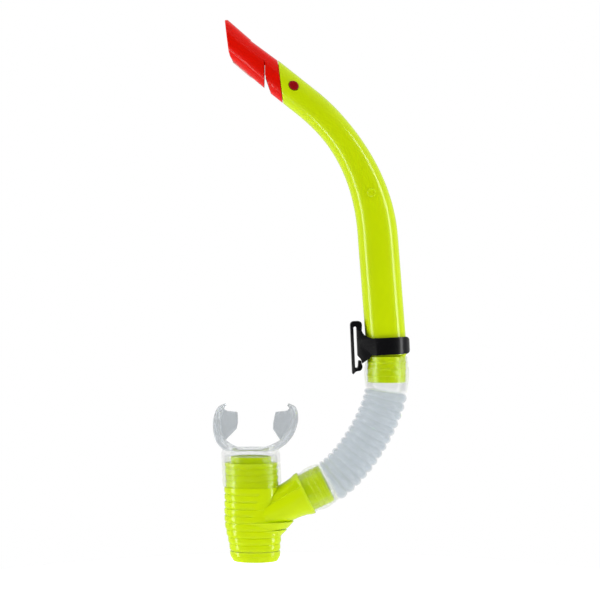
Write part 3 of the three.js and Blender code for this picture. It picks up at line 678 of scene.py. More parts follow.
def make_barrel(material):
    """The tube as one loop of rings: up its outside, over its slanted end and down its bore."""
    rings = [spigot_ring(SPIGOT_BORE, SPIGOT_BOTTOM + 0.3), spigot_ring(SPIGOT_BORE + 0.3, SPIGOT_BOTTOM)]
    profile = [(SPIGOT_RADIUS - 0.6, SPIGOT_BOTTOM), (SPIGOT_RADIUS - 0.15, SPIGOT_BOTTOM + 0.4)]
    for z in SPIGOT_BEADS:
        profile += bead_profile(z)
    shoulder_z = BARREL_SHOULDER - 0.4
    profile.append((SPIGOT_RADIUS, shoulder_z))
    rings += [spigot_ring(radius, z) for radius, z in profile]
    rings += [barrel_ring(BARREL_SHOULDER, 0.6), barrel_ring(BARREL_SHOULDER + 0.2, 0.15)]
    rings.append(barrel_ring(BARREL_SHOULDER + 0.7, 0))
    lengths = np.linspace(BARREL_SHOULDER + 3, BEND_END, 200)
    rings += [barrel_ring(s, 0) for s in lengths]
    shares = np.linspace(0, 1, 14)[1:]
    rings += [barrel_end_ring(share, 0, pull=0.35) for share in shares]
    rings += [barrel_end_ring(1, 0.12, pull=0.1), barrel_end_ring(1, 0.4)]
    rings += [barrel_end_ring(1, BARREL_WALL - 0.3), barrel_end_ring(1, BARREL_WALL, pull=0.3)]
    rings += [barrel_end_ring(share, BARREL_WALL) for share in shares[-2::-1]]
    rings += [barrel_ring(s, BARREL_WALL) for s in lengths[::-4]]
    rings.append(spigot_ring(SPIGOT_BORE, BARREL_SHOULDER - 2))
    barrel = loft("barrel_shell", rings, loop=True, smooth_angle=45)
    combine(barrel, button_hole(), "DIFFERENCE", 45)
    combine(barrel, make_boss(), "UNION", 45)
    even_shading(barrel)
    finish_piece(barrel, material, "barrel_lime", "barrel", "barrel_tube")


def make_boss():
    """A small round boss with a dished face, on the front of the barrel."""
    at = 119.0  # distance along the centreline
    beside = 0.8  # to the right of the centreline
    radius = 3.3
    proud = 0.5
    x, z, _ = (float(v) for v in barrel_line(np.array(at)))
    profile = [(radius, -2.0), (radius, proud - 0.2), (radius - 0.2, proud), (radius - 0.9, proud)]
    profile += [(radius - 1.4, proud - 0.35), (0.4, proud - 0.45)]

    def onto_front(p):
        return np.stack([x + beside + p[:, 0], -BARREL_HALF_DEPTH - p[:, 2], z + p[:, 1]], -1)

    return loft("boss", moved(turned_rings(profile, SMALL_SIDES), onto_front))


# ---- Splash guard ----


def guard_half_widths(s):
    """Half widths of the guard on its upper and lower sides."""
    share = np.clip((s - JOINT_AT) / (HOOD_START - JOINT_AT), 0, 1)
    lower = BARREL_TOP_HALF_WIDTH + (GUARD_MOUTH_HALF_WIDTH - BARREL_TOP_HALF_WIDTH) * share
    past = np.maximum(s - HOOD_START, 0)
    step = HOOD_STEP * smoothstep(s, HOOD_START, HOOD_START + 0.8)
    return lower + step + past * HOOD_FLARE, lower


def guard_ring(share, inset, trim=0.0):
    """A ring of the guard between its joint, at share 0, and its slanted mouth, at share 1."""
    cos, sin = circle()
    mouth = distance_at_x(GUARD_MOUTH_X)
    tip_round = 2.6 * smoothstep(cos, 0.8, 1.0) + 2.4 * smoothstep(-cos, 0.72, 1.0)
    s = JOINT_AT + (mouth - JOINT_AT) * share + 0 * cos
    for _ in range(6):
        upper, lower = guard_half_widths(s)
        across = (np.where(cos > 0, upper, lower) - inset) * cos
        near = to_plane(JOINT_AT + 0.45, across)
        far = to_plane(mouth, across) - trim - tip_round
        s = near + (far - near) * share
    return onto_barrel(across, (BARREL_HALF_DEPTH - inset) * sin, s)


def drain_slot():
    """The slot in the guard's lower side: thin above, a wedge below."""
    slot_x = -69.8
    slot_top = 218.7
    throat = 10.4
    depth = 30.0
    half = 0.35
    flare = 0.33  # how much it widens for each millimetre below its throat
    widest = half + flare * (depth - throat)
    outline = np.array([(-half, 0), (half, 0), (half, -throat), (widest, -depth), (-half, -depth)])
    return slab("slot", outline + (slot_x, slot_top), depth)


def make_guard(material, edge_material):
    """The guard as one loop of rings, with its sleeve, its drain slot and its tongues' windows."""
    shares = np.linspace(0, 1, 90)
    collar_share = 0.06
    rings = [guard_ring(0, 0.5), guard_ring(0.002, 0.15), guard_ring(0.008, 0)]
    rings += [guard_ring(share, 0) for share in shares[1:-1]]
    rings += [guard_ring(1, 0, trim=0.5), guard_ring(1, 0.2, trim=0.12), guard_ring(1, 0.5)]
    rings += [guard_ring(1, GUARD_WALL - 0.4), guard_ring(1, GUARD_WALL, trim=0.4)]
    rings += [guard_ring(share, GUARD_WALL) for share in shares[-2::-1] if share > collar_share]
    rings.append(guard_ring(collar_share, SLEEVE_INSET + SLEEVE_WALL))
    rings.append(sleeve_ring(SLEEVE_START, SLEEVE_INSET + SLEEVE_WALL))
    rings.append(sleeve_ring(SLEEVE_START, SLEEVE_INSET + 0.3))
    rings += [sleeve_ring(SLEEVE_START + 0.5, SLEEVE_INSET), guard_ring(0, SLEEVE_INSET)]
    guard = loft("guard_shell", rings, loop=True, smooth_angle=45)
    combine(guard, drain_slot(), "DIFFERENCE", 45)
    combine(guard, slab("window", tongue_outline(0.6), 30), "DIFFERENCE", 45)
    even_shading(guard)
    finish_piece(guard, material, "guard_red", "barrel", "splash_guard")
    make_guard_edge(edge_material)


def sleeve_ring(s, inset):
    """A ring of the guard's sleeve, square to the top straight."""
    cos, sin = circle()
    across = (BARREL_TOP_HALF_WIDTH - inset) * cos
    return onto_barrel(across, (BARREL_HALF_DEPTH - inset) * sin, s + 0 * cos)


def tongue_outline(grow):
    """Outline of a snap tongue in X and Z."""
    low, high = TONGUE_TIP - grow, TONGUE_ROOT + grow
    left, right = BUTTON_ABOVE - TONGUE_HALF_WIDTH - grow, BUTTON_ABOVE + TONGUE_HALF_WIDTH + grow
    across = np.array([left, right, right, left])
    points = onto_barrel(across, 0.0, np.array([low, low, high, high]))
    return points[:, [0, 2]]


def make_guard_edge(material):
    """A thin pale rib along the guard's lower side, from the drain slot to the mouth: partly the translucent
    edge's own pink, partly a painted highlight of the light that edge catches.
    """
    half_width = 0.7
    half_depth = 0.9
    start = 249.0
    end = float(to_plane(distance_at_x(GUARD_MOUTH_X), -GUARD_MOUTH_HALF_WIDTH)) - 3.4
    rings = []
    cos, sin = circle(16)
    for s in np.linspace(start, end, 40):
        _, lower = guard_half_widths(np.array(s))
        taper = min(1.0, (s - start) / 4 + 0.15)
        across = -lower + half_width * taper * cos
        rings.append(onto_barrel(across, half_depth * sin, s + 0 * cos))
    edge = loft("guard_edge", rings, smooth_angle=60)
    finish_piece(edge, material, "guard_red", "barrel")


def make_snap_button(side, material, node, body):
    """A snap tongue with its domed oval button. side is -1 at the front and 1 at the back."""
    low, high = node_box(node)
    proud = float(max(-low[1], high[1]))
    inner = BARREL_HALF_DEPTH - BARREL_WALL - GAP
    dome = [(1, inner - 2.2), (1, proud - 0.9), (0.97, proud - 0.55), (0.88, proud - 0.28)]
    dome += [(0.7, proud - 0.12), (0.4, proud - 0.02), (0.05, proud)]
    rings = [np.insert(button_oval(share), 1, side * y, axis=1) for share, y in dome]
    button = loft(body + "_button", rings, smooth_angle=50)
    past = 2  # how far the sleeve's patch runs past the tongue at each end
    tongue = loft("sleeve_part", [
        sleeve_ring(TONGUE_TIP - past, SLEEVE_INSET),
        sleeve_ring(TONGUE_ROOT + past, SLEEVE_INSET),
        sleeve_ring(TONGUE_ROOT + past, SLEEVE_INSET + SLEEVE_WALL),
        sleeve_ring(TONGUE_TIP - past, SLEEVE_INSET + SLEEVE_WALL),
    ], loop=True)
    window = slab("patch", tongue_outline(0), 15)
    for vertex in window.data.vertices:
        if vertex.co.y * side < 0:
            vertex.co.y = side * 0.5 * MM
    combine(tongue, window, "INTERSECT")
    combine(button, tongue, "UNION", 50)
    finish_piece(button, material, "button_red", body, node)


# ---- Keeper ----


def leaned(points):
    """Turns points about the origin by the keeper's lean."""
    cos, sin = math.cos(KEEPER_LEAN), math.sin(KEEPER_LEAN)
    x, y, z = points[:, 0], points[:, 1], points[:, 2]
    return np.stack([x * cos - z * sin, y, x * sin + z * cos], -1)


def band_outline():
    """Side outline of the band, which flares at the buckle and is cut back below its bar."""
    far_x = BARREL_FOOT_X + BARREL_HALF_WIDTH + GAP + BAND_WALL
    corner = 3.2
    points = [(BAR_FACE, BAND_BOTTOM), (BAR_FACE + 2.6, BAND_BOTTOM - 3.2)]
    points += [(BAR_FACE + 3.3, BAND_BOTTOM - 6), (BAR_FACE + 6.4, BAND_BOTTOM - 3.8)]
    points += curve_to(points[-1], (BAR_FACE + 12, BAND_BOTTOM), (BAR_FACE + 19, BAND_BOTTOM)).tolist()
    points += arc((far_x - corner, BAND_BOTTOM + corner), corner, -90, 0).tolist()
    points += arc((far_x - corner, BAND_TOP - corner), corner, 0, 90).tolist()
    points.append((BAR_FACE + 12, BAND_TOP))
    points += curve_to(points[-1], (BAR_OUTER + 1.5, BAND_TOP + 1), (BAR_OUTER, BAR_SPLIT)).tolist()
    points.append((BAR_FACE, BAR_SPLIT))
    return points


def band_plan():
    """Plan outline of the band in X and Y: an oval drawn out to the buckle's bar."""
    wide = BARREL_HALF_WIDTH + GAP + BAND_WALL
    deep = BARREL_HALF_DEPTH + GAP + BAND_WALL
    oval = arc((0, 0), 1, -125, 125, 64) * (wide, deep) + (BARREL_FOOT_X, 0)
    bar = [(BAR_FACE, KEEPER_HALF_DEPTH), (BAR_FACE, -KEEPER_HALF_DEPTH)]
    return np.vstack([oval, bar])


def make_keeper_band(material):
    """The band is its plan cut to its side outline, with room for the barrel and the hose's cuff."""
    reach = 30.0
    plan = band_plan()
    rings = [np.insert(plan, 2, z, axis=1) for z in (-reach, reach)]
    band = loft("keeper_band_shell", rings)
    combine(band, slab("side", band_outline(), reach), "INTERSECT")
    round_edges(band, 0.9, 4)
    reshape(band, leaned)
    bore = loft("bore", [barrel_ring(s, -GAP) for s in np.linspace(-24, 24, 5)])
    combine(band, bore, "DIFFERENCE")
    clearance = 0.6
    low = CUFF_LOW[2] - 6
    swell_z = CUFF_LOW[2] + 0.68 * (CUFF_HIGH[2] - CUFF_LOW[2])
    top = -6.5
    wide = CUFF_RADIUS + clearance
    room = [(AXIS, low), (wide, low), (wide, swell_z), (CUFF_LIP + clearance, top), (AXIS, top)]
    cuff_room = loft("cuff_room", turned_rings(room) + np.array([SPIGOT_X, 0, GAP]))
    combine(band, cuff_room, "DIFFERENCE")
    finish_piece(band, material, "keeper_black", "keeper", "keeper_band")


def arm_outline():
    """Side outline of the latch arm: a U turn at the top, and a hook that closes under the bar."""
    points = [(BAR_FACE, BAR_SPLIT), (BAR_OUTER, BAR_SPLIT), (BAR_OUTER + 0.4, ARM_TOP - 3)]

    def turn(handle, end):
        points.extend(curve_to(points[-1], handle, end).tolist())

    turn((BAR_OUTER + 0.2, ARM_TOP - 0.1), (BAR_OUTER - 3, ARM_TOP))
    points.append((ARM_OUTER + 3, ARM_TOP))
    turn((ARM_OUTER, ARM_TOP - 0.1), (ARM_OUTER, ARM_TOP - 3.4))
    points.append((ARM_OUTER, -19.6))
    turn((ARM_OUTER, -20.6), (ARM_OUTER + 0.9, -20.6))
    points.append((ARM_INNER, -19.2))
    turn((ARM_INNER + 0.6, -18.4), (BAR_FACE, -18.4))
    turn((BAR_FACE + 3, -18.4), (BAR_FACE + 3.4, -14.8))
    points += [(BAR_FACE + 2.3, -10.4), (BAR_FACE + 0.4, -10.4), (BAR_FACE, -14.6)]
    turn((BAR_FACE - 0.2, -16), (ARM_INNER + 1.1, -16))
    turn((ARM_INNER, -16), (ARM_INNER, -14.6))
    points.append((ARM_INNER, SLOT_TOP - 1.1))
    turn((ARM_INNER + 0.1, SLOT_TOP), ((ARM_INNER + BAR_FACE) / 2, SLOT_TOP))
    turn((BAR_FACE - 0.1, SLOT_TOP), (BAR_FACE, SLOT_TOP - 1.1))
    return points


def make_latch_arm(material):
    """The sprung arm of the strap buckle."""
    arm = slab("latch_arm_shell", arm_outline(), KEEPER_HALF_DEPTH)
    round_edges(arm, 0.5, 3)
    reshape(arm, leaned)
    finish_piece(arm, material, "keeper_black", "latch_arm", "keeper_latch_arm")


# ---- Hose ----


def branch_direction():
    """The way the branch points, out of the chamber."""
    return np.array([math.cos(BRANCH_TILT), 0, math.sin(BRANCH_TILT)])


def hose_path():
    """Points of the hose's centreline: straight in each cuff, and curved between them."""
    top = np.array([SPIGOT_X, 0, CUFF_LOW[2]])
    top_pull = 22.8
    end_pull = 21.0
    handles = [top, top - (0, 0, top_pull), BRANCH_MOUTH + end_pull * branch_direction(), BRANCH_MOUTH]
    t = np.linspace(0, 1, 400)[:, None]
    weights = [(1 - t) ** 3, 3 * t * (1 - t) ** 2, 3 * t * t * (1 - t), t**3]
    curved = sum(w * h for w, h in zip(weights, handles))
    start = np.array([[SPIGOT_X, 0, CUFF_HIGH[2]]])
    end = (BRANCH_MOUTH - BRANCH_CUFF_LENGTH * branch_direction())[None, :]
    return np.vstack([start, curved, end])


def hose_rings(profile):
    """Rings along the hose from (radius, distance) points, with the distance from the upper cuff's lip."""
    path = hose_path()
    steps = np.linalg.norm(np.diff(path, axis=0), axis=1)
    along = np.concatenate([[0], np.cumsum(steps)])
    cos, sin = circle(72)

    def at(distance):
        return np.array([np.interp(distance, along, path[:, i]) for i in range(3)])

    rings = []
    for radius, distance in profile:
        tangent = at(distance + 0.5) - at(distance - 0.5)
        tangent /= np.linalg.norm(tangent)
        side = np.array([-tangent[2], 0, tangent[0]])
        rings.append(at(distance) + radius * (cos[:, None] * side + sin[:, None] * np.array([0, 1, 0])))
    return rings


def hose_place(distance):
    """The centreline's point at a distance along the hose, in metres."""
    middle = hose_rings([(0.0, distance)])[0][0]
    return tuple(float(c) for c in middle * MM)


def hose_length():
    """Length of the hose with its cuffs, along its centreline."""
    return float(np.linalg.norm(np.diff(hose_path(), axis=0), axis=1).sum())


def cuff_steps(length, open_end_first):
    """(radius, distance from the open end) down a cuff's outside."""
    steps = [(CUFF_LIP - 0.5, 0.0), (CUFF_LIP - 0.1, 0.15), (CUFF_LIP + 0.1, 0.6), (CUFF_LIP + 0.1, 1.3)]
    steps += [(CUFF_LIP - 0.1, 1.7), (CUFF_RADIUS - 0.15, length * 0.35), (CUFF_RADIUS, length * 0.5)]
    steps += [(CUFF_RADIUS - 0.1, length * 0.65), (CUFF_RADIUS - 0.6, length * 0.82)]
    steps += [(CUFF_RADIUS - 1.1, length * 0.97), (CUFF_RADIUS - 1.5, length + 0.6)]
    return steps if open_end_first else steps[::-1]


def cuff_bore(start, end, ribs):
    """(radius, distance) through a cuff's bore, with low sealing ribs at the given distances."""
    way = math.copysign(1, end - start)
    crest = CUFF_BORE - 0.35
    steps = [(CUFF_BORE, start)]
    for middle in ribs:
        steps += [(CUFF_BORE, middle - 1.2 * way), (crest, middle - 0.7 * way)]
        steps += [(crest, middle + 0.7 * way), (CUFF_BORE, middle + 1.2 * way)]
    steps.append((CUFF_BORE, end))
    return steps


def bellows_steps(start, end):
    """(radius, distance) down the corrugated stretch's outside."""
    turns = round((end - start) / HOSE_PITCH)
    per_turn = 12
    steps = np.arange(turns * per_turn + 1) / per_turn
    ridge = np.abs(np.sin(math.pi * steps)) ** 0.75
    groove_radius = HOSE_ROOT_RADIUS - 0.5
    radii = groove_radius + (HOSE_RADIUS - groove_radius) * ridge
    return list(zip(radii, start + steps * (end - start) / turns))


def between(beads):
    """The middles of the gaps between beads, where a cuff's sealing ribs sit."""
    return [(a + b) / 2 for a, b in zip(beads, beads[1:])]


def make_hose(material, cuff_material):
    """The clear moulding: two smooth cuffs and the corrugated stretch between them."""
    total = hose_length()
    upper_cuff = CUFF_HIGH[2] - CUFF_LOW[2] + UPPER_CUFF_EXTRA
    bellows_start = upper_cuff + 1.4
    bellows_end = total - BRANCH_CUFF_LENGTH - 1.8
    bellows = bellows_steps(bellows_start, bellows_end)
    lower = [(r, total - d) for r, d in cuff_steps(BRANCH_CUFF_LENGTH, False)]
    outside = cuff_steps(upper_cuff, True) + bellows + lower
    branch_ribs = [total - BRANCH_CUFF_LENGTH + middle for middle in between(BRANCH_BEADS)]
    spigot_ribs = [CUFF_HIGH[2] - middle for middle in between(SPIGOT_BEADS)]
    inside = cuff_bore(total - 0.2, total - BRANCH_CUFF_LENGTH + 0.6, branch_ribs[::-1])
    inside += [(r - HOSE_WALL, d) for r, d in bellows[::-1]]
    inside += cuff_bore(upper_cuff - 1, 0.2, spigot_ribs)
    hose = loft("clear_hose", hose_rings(outside + inside), loop=True, smooth_angle=60)
    finish_piece(hose, material, "hose_clear", None, "hose_upper_cuff", "corrugated_hose", "hose_lower_cuff")
    hose.data.materials.append(cuff_material)
    is_cuff = [not bellows_start < d < bellows_end for r, d in outside + inside]
    sides = len(hose.data.polygons) // len(is_cuff)
    for face in hose.data.polygons:
        face.material_index = int(is_cuff[face.index // sides])
    hose_place(bellows_start + 4)
    hose_place(bellows_end - 6)
    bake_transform(hose)


# ---- Chamber ----


def onto_chamber(points):
    """Gives turned points the chamber's oval section, and its drift with height."""
    x = CHAMBER_X + CHAMBER_DRIFT * (points[:, 2] - COLLAR_TOP) + points[:, 0]
    return np.stack([x, points[:, 1] * CHAMBER_DEPTH_SHARE, points[:, 2]], -1)


def onto_branch(points):
    """Lays turned points along the branch, with Z = 0 at its mouth and Z towards the chamber."""
    angle = math.radians(270) - BRANCH_TILT
    x = points[:, 0] * math.cos(angle) + points[:, 2] * math.sin(angle)
    z = -points[:, 0] * math.sin(angle) + points[:, 2] * math.cos(angle)
    return np.stack([x + BRANCH_MOUTH[0], points[:, 1], z + BRANCH_MOUTH[2]], -1)


def chamber_half_width(z):
    """The chamber's half width: a waist, a slight belly and a taper to its foot."""
    waist = 21.6 + 0.8 * smoothstep(-z, 112, 132)
    return waist + (COVER_HALF_WIDTH + 0.2 - waist) * smoothstep(-z, 134, 156)


def chamber_profile():
    """(radius, depth of the groove there, height) up the chamber's outside."""
    count = round((CHAMBER_SHOULDER - CHAMBER_BOTTOM) / RIB_PITCH)
    pitch = (CHAMBER_SHOULDER - CHAMBER_BOTTOM) / count
    # One rib, as (share of the groove's depth, share of the pitch).
    rib = [(1.0, 0.0), (0.97, 0.07), (0.56, 0.16), (0.16, 0.26)]
    rib += [(0, 0.38), (0, 0.81), (0.13, 0.9), (0.5, 0.96)]
    profile = [(AXIS, 0, CHAMBER_BOTTOM)]
    for i in range(count):
        low = CHAMBER_BOTTOM + i * pitch
        half = float(chamber_half_width(low + pitch / 2))
        profile += [(half, depth * RIB_DEPTH, low + rise * pitch) for depth, rise in rib]
    profile.append((PLUG_RADIUS, 0, CHAMBER_SHOULDER + 0.05))
    for z in PLUG_GROOVES:
        profile += [(PLUG_RADIUS, 0, z - 1.1), (PLUG_RADIUS, 0.6, z - 0.5)]
        profile += [(PLUG_RADIUS, 0.6, z + 0.5), (PLUG_RADIUS, 0, z + 1.1)]
    for radius, inner, top in ((PLUG_RADIUS, NECK_RADIUS, NECK_STEP), (NECK_RADIUS, AXIS, NECK_TOP)):
        profile += [(radius, 0, top - 0.5), (radius, 0.5, top), (inner, 0, top)]
    return profile


def chamber_rings():
    """Rings up the chamber. The upper grooves end on a slanted line short of the branch."""
    cos, sin = circle()
    rings = []
    for radius, depth, z in chamber_profile():
        line_x = GROOVE_END_X + (z - GROOVE_END_Z) * GROOVE_END_SLANT
        beyond = smoothstep(radius * cos, line_x - 0.7, line_x + 0.7)
        keep = 1 - beyond if GROOVE_END_Z < z < CHAMBER_SHOULDER else 1
        r = radius - depth * keep
        rings.append(np.stack([r * cos, r * sin, z + 0 * cos], -1))
    return moved(rings, onto_chamber)


def branch_profile():
    """(radius, height) from the branch's mouth down into the chamber."""
    profile = [(AXIS, 0.6), (SPIGOT_RADIUS - 0.6, 0.6), (SPIGOT_RADIUS, 1.4)]
    for z in BRANCH_BEADS:
        profile += bead_profile(z)
    start = BRANCH_CUFF_LENGTH + GAP
    flare = CUFF_RADIUS - 0.2
    profile += [(SPIGOT_RADIUS, start), (flare - 0.4, start), (flare, start + 0.4)]
    profile += [(flare - 0.3, start + 3), (flare - 1.6, start + 6.5), (BRANCH_NECK_RADIUS + 0.3, start + 11)]
    profile += [(BRANCH_NECK_RADIUS, start + 15), (BRANCH_NECK_RADIUS, start + 40), (AXIS, start + 40)]
    return profile


def web_recess(side):
    """The block cut off the branch's upper flank, which leaves a set-back web above a crisp ledge."""
    crease = np.array([(-57.5, -115.2), (-42.2, -105.8)])
    along = (crease[1] - crease[0]) / np.linalg.norm(crease[1] - crease[0])
    rise = np.array([-along[1], along[0]])
    tube_face, web_face = 13.2, 11.5  # half depths at the ledge's edge and at the web, outside the bore
    height = 12.0
    reach = 30.0
    shifts = np.array([[-14.0], [-0.6]])  # back into the chamber, and short of the branch's flare
    ends = crease + shifts * along
    section = [(0.0, tube_face), (0.3, web_face + 0.5), (1.4, web_face), (height, web_face - 3.0)]
    section += [(height, reach), (0.0, reach)]
    rings = [[(*(end + up * rise), y * side) for up, y in section] for end in ends]
    return loft("recess", np.array(rings)[:, :, [0, 2, 1]])


def gusset(top, bottom, left, right):
    """A broad rib under the branch, as an oval that reaches out past the body, with slanted ends."""
    depth_share = 0.62
    slant = 4.2
    half = (right - left) / 2
    middle = (left + right) / 2
    profile = [(AXIS, bottom), (half - slant - 0.8, bottom), (half - slant, bottom + 0.5)]
    profile += [(half - 0.5, top - 1.0), (half - 0.2, top - 0.4), (half - 0.6, top), (AXIS, top)]
    return loft("gusset", turned_rings(profile) * (1, depth_share, 1) + (middle, 0, 0))


def chamber_cavity():
    """The chamber's hollow, open at its neck and above the valve."""
    low = COVER_HALF_WIDTH - CHAMBER_WALL
    narrow = NECK_RADIUS - CHAMBER_WALL
    wide = PLUG_RADIUS - CHAMBER_WALL
    profile = [(AXIS, CHAMBER_BOTTOM - 1), (low, CHAMBER_BOTTOM - 1), (low, SEAT_TOP + GAP)]
    profile += [(low + 1.6, SEAT_TOP + 12), (wide, CHAMBER_SHOULDER), (wide, NECK_STEP - CHAMBER_WALL - 3)]
    profile += [(narrow, NECK_STEP - 1), (narrow, NECK_TOP + 1), (AXIS, NECK_TOP + 1)]
    return turned("cavity", profile, onto_chamber)


def make_chamber(material):
    """The ribbed body with its branch and its two broad ribs, hollowed and bored."""
    chamber = loft("chamber_shell", chamber_rings())
    branch = turned("branch", branch_profile(), onto_branch)
    for side in (-1, 1):
        combine(branch, web_recess(side), "DIFFERENCE")
    combine(chamber, branch, "UNION")
    combine(chamber, gusset(-133.6, -139.2, -100.2, -47.4), "UNION")
    combine(chamber, gusset(-140.0, -145.0, -99.4, -52.6), "UNION")
    combine(chamber, chamber_cavity(), "DIFFERENCE")
    combine(chamber, turned("bore", [(SPIGOT_BORE, -1), (SPIGOT_BORE, 62)], onto_branch), "DIFFERENCE")
    even_shading(chamber)
    finish_piece(chamber, material, "chamber_lime", "chamber", "chamber_body")


# ---- Mouthpiece ----


def onto_neck(points):
    """Moves points drawn about X = 0 over the neck, and leans them towards the barrel as they rise."""
    rise = FLANGE_TIP_Z - COLLAR_TOP
    share = (points[:, 2] - COLLAR_TOP) / rise
    lean = MOUTHPIECE_LEAN * rise * (1 - (1 - share) ** 2)
    return np.stack([CHAMBER_X + lean + points[:, 0], points[:, 1], points[:, 2]], -1)


def flange_path():
    """The middle of the flange's wall in X and Z, from the left tip over the floor to the right tip."""
    inner = FLANGE_HALF_WIDTH - 2.4
    right = [(0.0, FLANGE_FLOOR_Z - 1.2), (12.0, FLANGE_FLOOR_Z - 0.9), (21.8, FLANGE_FLOOR_Z + 3.2)]
    right += [(27.8, FLANGE_FLOOR_Z + 10.8), (inner, WIDEST_Z), (inner - 1.7, WIDEST_Z + 8.2)]
    right.append((24.0, FLANGE_TIP_Z - 1.6))
    left = [(-x, z) for x, z in right[:0:-1]]
    return np.array(left + right)


def spline(points, count):
    """A smooth curve through points, by Catmull-Rom steps."""
    points = np.asarray(points, float)
    padded = np.vstack([2 * points[0] - points[1], points, 2 * points[-1] - points[-2]])
    place = np.linspace(0, len(points) - 1, count)
    index = np.minimum(place.astype(int), len(points) - 2)
    t = (place - index)[:, None]
    a, b, c, d = (padded[index + k] for k in range(4))
    cubic = 2 * b + (c - a) * t + (2 * a - 5 * b + 4 * c - d) * t**2 + (3 * b - a - 3 * c + d) * t**3
    return cubic / 2


def make_flange():
    """The lip flange as one curved wall, tall at the lips and rounded off towards its tips."""
    count = 120
    path = spline(flange_path(), count)
    tangent = np.gradient(path, axis=0)
    tangent /= np.linalg.norm(tangent, axis=1)[:, None]
    cos, sin = circle(SMALL_SIDES)
    rings = []
    for i in range(count):
        end = abs(2 * i / (count - 1) - 1)  # 0 at the middle of the floor, 1 at a tip
        notch = 3.2 * (1 - smoothstep(end, 0, 0.3))  # the lower rim's dip at the middle
        height = FLANGE_HALF_HEIGHT * (1 - 0.62 * smoothstep(end, 0.66, 1.02)) - notch
        thick = 1.3 + 1.2 * smoothstep(end, 0.1, 0.32) - 1.4 * smoothstep(end, 0.82, 1)
        across = thick * np.sign(cos) * np.abs(cos) ** 0.8
        up = height * np.sign(sin) * np.abs(sin) ** 0.9
        x = path[i, 0] - tangent[i, 1] * across
        z = path[i, 1] + tangent[i, 0] * across
        rings.append(np.stack([x, up, z], -1))
    return loft("flange", moved(rings, onto_neck))


def bite_tab(sign):
    """A plate that reaches in from an arm of the flange. sign is 1 or -1."""
    half_gap = 14.0
    arm_x = FLANGE_HALF_WIDTH - 2
    points = np.array([
        (half_gap + 0.6, FLANGE_TIP_Z - 7.4),
        (half_gap + 9.0, FLANGE_TIP_Z - 6.6),
        (half_gap + 12.6, FLANGE_TIP_Z - 4.2),
        (arm_x, WIDEST_Z + 4),
        (arm_x, WIDEST_Z - 7),
        (arm_x - 9.5, WIDEST_Z - 15),
        (half_gap, WIDEST_Z - 6.5),
        (half_gap - 0.4, WIDEST_Z - 1.5),
    ])
    points[:, 0] *= sign
    half_thickness = 2.5
    tab = slab("tab", points, half_thickness)
    reshape(tab, onto_neck)
    return tab


def collar_profile():
    """(radius, height) round the collar's wall and its inward rim."""
    low = CHAMBER_SHOULDER + GAP
    rim = 14.0
    profile = [(COLLAR_BORE, low), (COLLAR_RADIUS, low), (COLLAR_RADIUS, COLLAR_TOP - 2)]
    profile += [(COLLAR_RADIUS - 1.5, COLLAR_TOP + 1.4), (rim, COLLAR_TOP + 1.4)]
    profile += [(rim, COLLAR_TOP - 2), (COLLAR_BORE - 2, COLLAR_TOP - 3)]
    return profile + [(COLLAR_BORE, COLLAR_TOP - 4.5)]


def airway():
    """The oval hole through the collar and the flange's floor."""
    half_sizes = (14.5, 9.5, 1)
    rings = turned_rings([(1, COLLAR_TOP - 8), (1, FLANGE_FLOOR_Z + 6)]) * half_sizes
    return loft("airway", moved(rings, onto_neck))


def branch_room():
    """The room that the collar leaves for the branch."""
    branch = [(r + GAP, z) for r, z in branch_profile()[-5:]]
    widest, start = branch[0]
    branch = [(AXIS, start - 8), (widest, start - 8)] + branch
    return turned("branch_room", branch, onto_branch)


def melt(piece):
    """Runs a piece's joined parts softly into each other."""
    remesh = piece.modifiers.new("remesh", "REMESH")
    remesh.mode = "VOXEL"
    remesh.voxel_size = 0.55 * MM
    soften = piece.modifiers.new("soften", "SMOOTH")
    soften.factor = 0.5
    soften.iterations = 5
    settle(piece)


def make_mouthpiece(material, collar_material):
    """One soft moulding of collar, lip flange and bite tabs."""
    piece = turned("soft_mouthpiece", collar_profile(), onto_chamber, loop=True)
    combine(piece, make_flange(), "UNION")
    combine(piece, bite_tab(1), "UNION")
    combine(piece, bite_tab(-1), "UNION")
    combine(piece, airway(), "DIFFERENCE")
    melt(piece)
    combine(piece, branch_room(), "DIFFERENCE", 60)
    finish_piece(piece, material, "mouthpiece_clear", "chamber", "mouthpiece")
    piece.data.materials.append(collar_material)
    for face in piece.data.polygons:
        face.material_index = int(face.center.z < (COLLAR_TOP + 0.5) * MM)


# ---- Purge valve ----


def purge_x():
    """Where the chamber's axis crosses the valve."""
    return CHAMBER_X + CHAMBER_DRIFT * (SEAT_TOP - COLLAR_TOP)


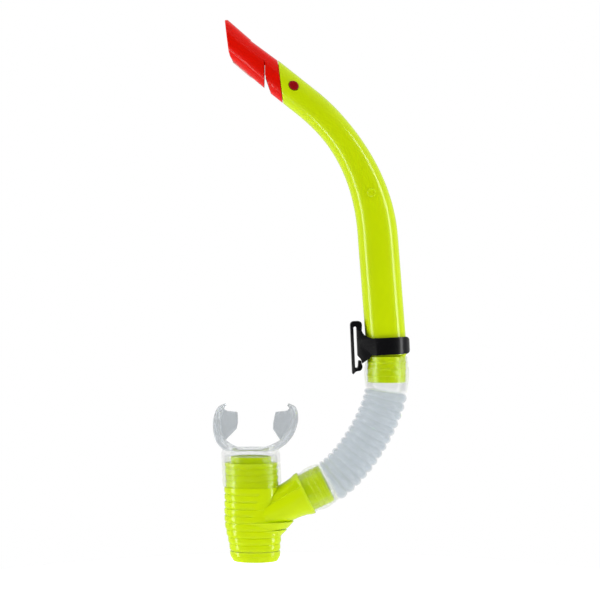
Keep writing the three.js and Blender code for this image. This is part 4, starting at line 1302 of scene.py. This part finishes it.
def make_purge_cover(material):
    """The smooth cap that closes the chamber, with slots in its floor."""
    top = CHAMBER_BOTTOM - GAP
    foot = COVER_FOOT_HALF_WIDTH
    inner = COVER_HALF_WIDTH - CHAMBER_WALL
    profile = [(AXIS, COVER_BOTTOM), (foot - 1.2, COVER_BOTTOM)]
    profile += [(foot - 0.4, COVER_BOTTOM + 0.25), (foot, COVER_BOTTOM + 1.0)]
    profile += [(COVER_HALF_WIDTH - 0.1, COVER_BOTTOM + 4), (COVER_HALF_WIDTH, COVER_BOTTOM + 5.5)]
    profile += [(COVER_HALF_WIDTH, top - 0.3), (COVER_HALF_WIDTH - 0.3, top)]
    floor = COVER_BOTTOM + COVER_FLOOR
    profile += [(inner, top), (inner, COVER_BOTTOM + 5), (foot - 2, floor), (AXIS, floor)]
    cover = turned("purge_cap", profile, onto_chamber)
    half_length = 10.0
    half_width = 1.5
    corner_x = half_length - half_width
    for y in (-6, 0, 6):
        ends = [arc((corner_x, y), half_width, -90, 90), arc((-corner_x, y), half_width, 90, 270)]
        outline = np.vstack(ends) + (purge_x(), 0)
        rings = [np.insert(outline, 2, z, axis=1) for z in (COVER_BOTTOM - 3, COVER_BOTTOM + 3)]
        combine(cover, loft("slot", rings), "DIFFERENCE")
    finish_piece(cover, material, "chamber_lime", "chamber", "purge_cover")


def make_purge_flap(material):
    """A thin domed disc on a stem, with the barb that holds it in its seat."""
    radius = (FLAP_HIGH[1] - FLAP_LOW[1]) / 2
    bottom = FLAP_LOW[2]
    top = FLAP_HIGH[2]
    seat_thickness = 2
    under = SEAT_TOP - seat_thickness - GAP
    stem = 1.5
    profile = [(AXIS, bottom), (radius * 0.5, bottom + 0.05), (radius - 0.5, bottom + 0.2)]
    profile += [(radius, under - 0.2), (radius - 0.2, under), (stem, under), (stem, top - 4)]
    profile.append((2.3, top - 3.4))
    profile += [(2.1, top - 2.6), (0.9, top - 0.2), (AXIS, top)]
    rings = turned_rings(profile, SMALL_SIDES) + np.array([(FLAP_LOW[0] + FLAP_HIGH[0]) / 2, 0, 0])
    flap = loft("flap_disc", rings, smooth_angle=50)
    finish_piece(flap, material, "valve_soft", "flap", "purge_valve_flap")


# ---- The scene ----

make_camera()
make_world()
make_lights()
make_floor()

lime = lime_plastic()
red = red_plastic()
dark_red = dark_red_plastic()
black = black_plastic()
bellows_silicone = clear_silicone("bellows_silicone", (0.5, 0.59, 0.66), 0.13, 0.3, 0.32)
cuff_silicone = clear_silicone("cuff_silicone", (0.78, 0.85, 0.84), 0.06, 1.0, 0.2)
lip_silicone = clear_silicone("lip_silicone", (0.74, 0.8, 0.85), 0.2, 0.7, 0.7, dimples=0.3)
collar_silicone = clear_silicone("collar_silicone", (0.8, 0.86, 0.87), 0.08, 1.0, 0.19)
valve_silicone = clear_silicone("valve_silicone", (0.8, 0.84, 0.86), 0.3, 0.3, 0.7)

make_barrel(lime)
make_guard(red, pink_edge())
make_snap_button(-1, dark_red, "snap_button_front", "snap_front")
make_snap_button(1, dark_red, "snap_button_back", "snap_back")
make_keeper_band(black)
make_latch_arm(black)
make_hose(bellows_silicone, cuff_silicone)
make_chamber(lime)
make_mouthpiece(lip_silicone, collar_silicone)
make_purge_cover(lime)
make_purge_flap(valve_silicone)

seat = frame["nodes"]["purge_valve_seat"]
seat.data.materials.clear()
seat.data.materials.append(lime)
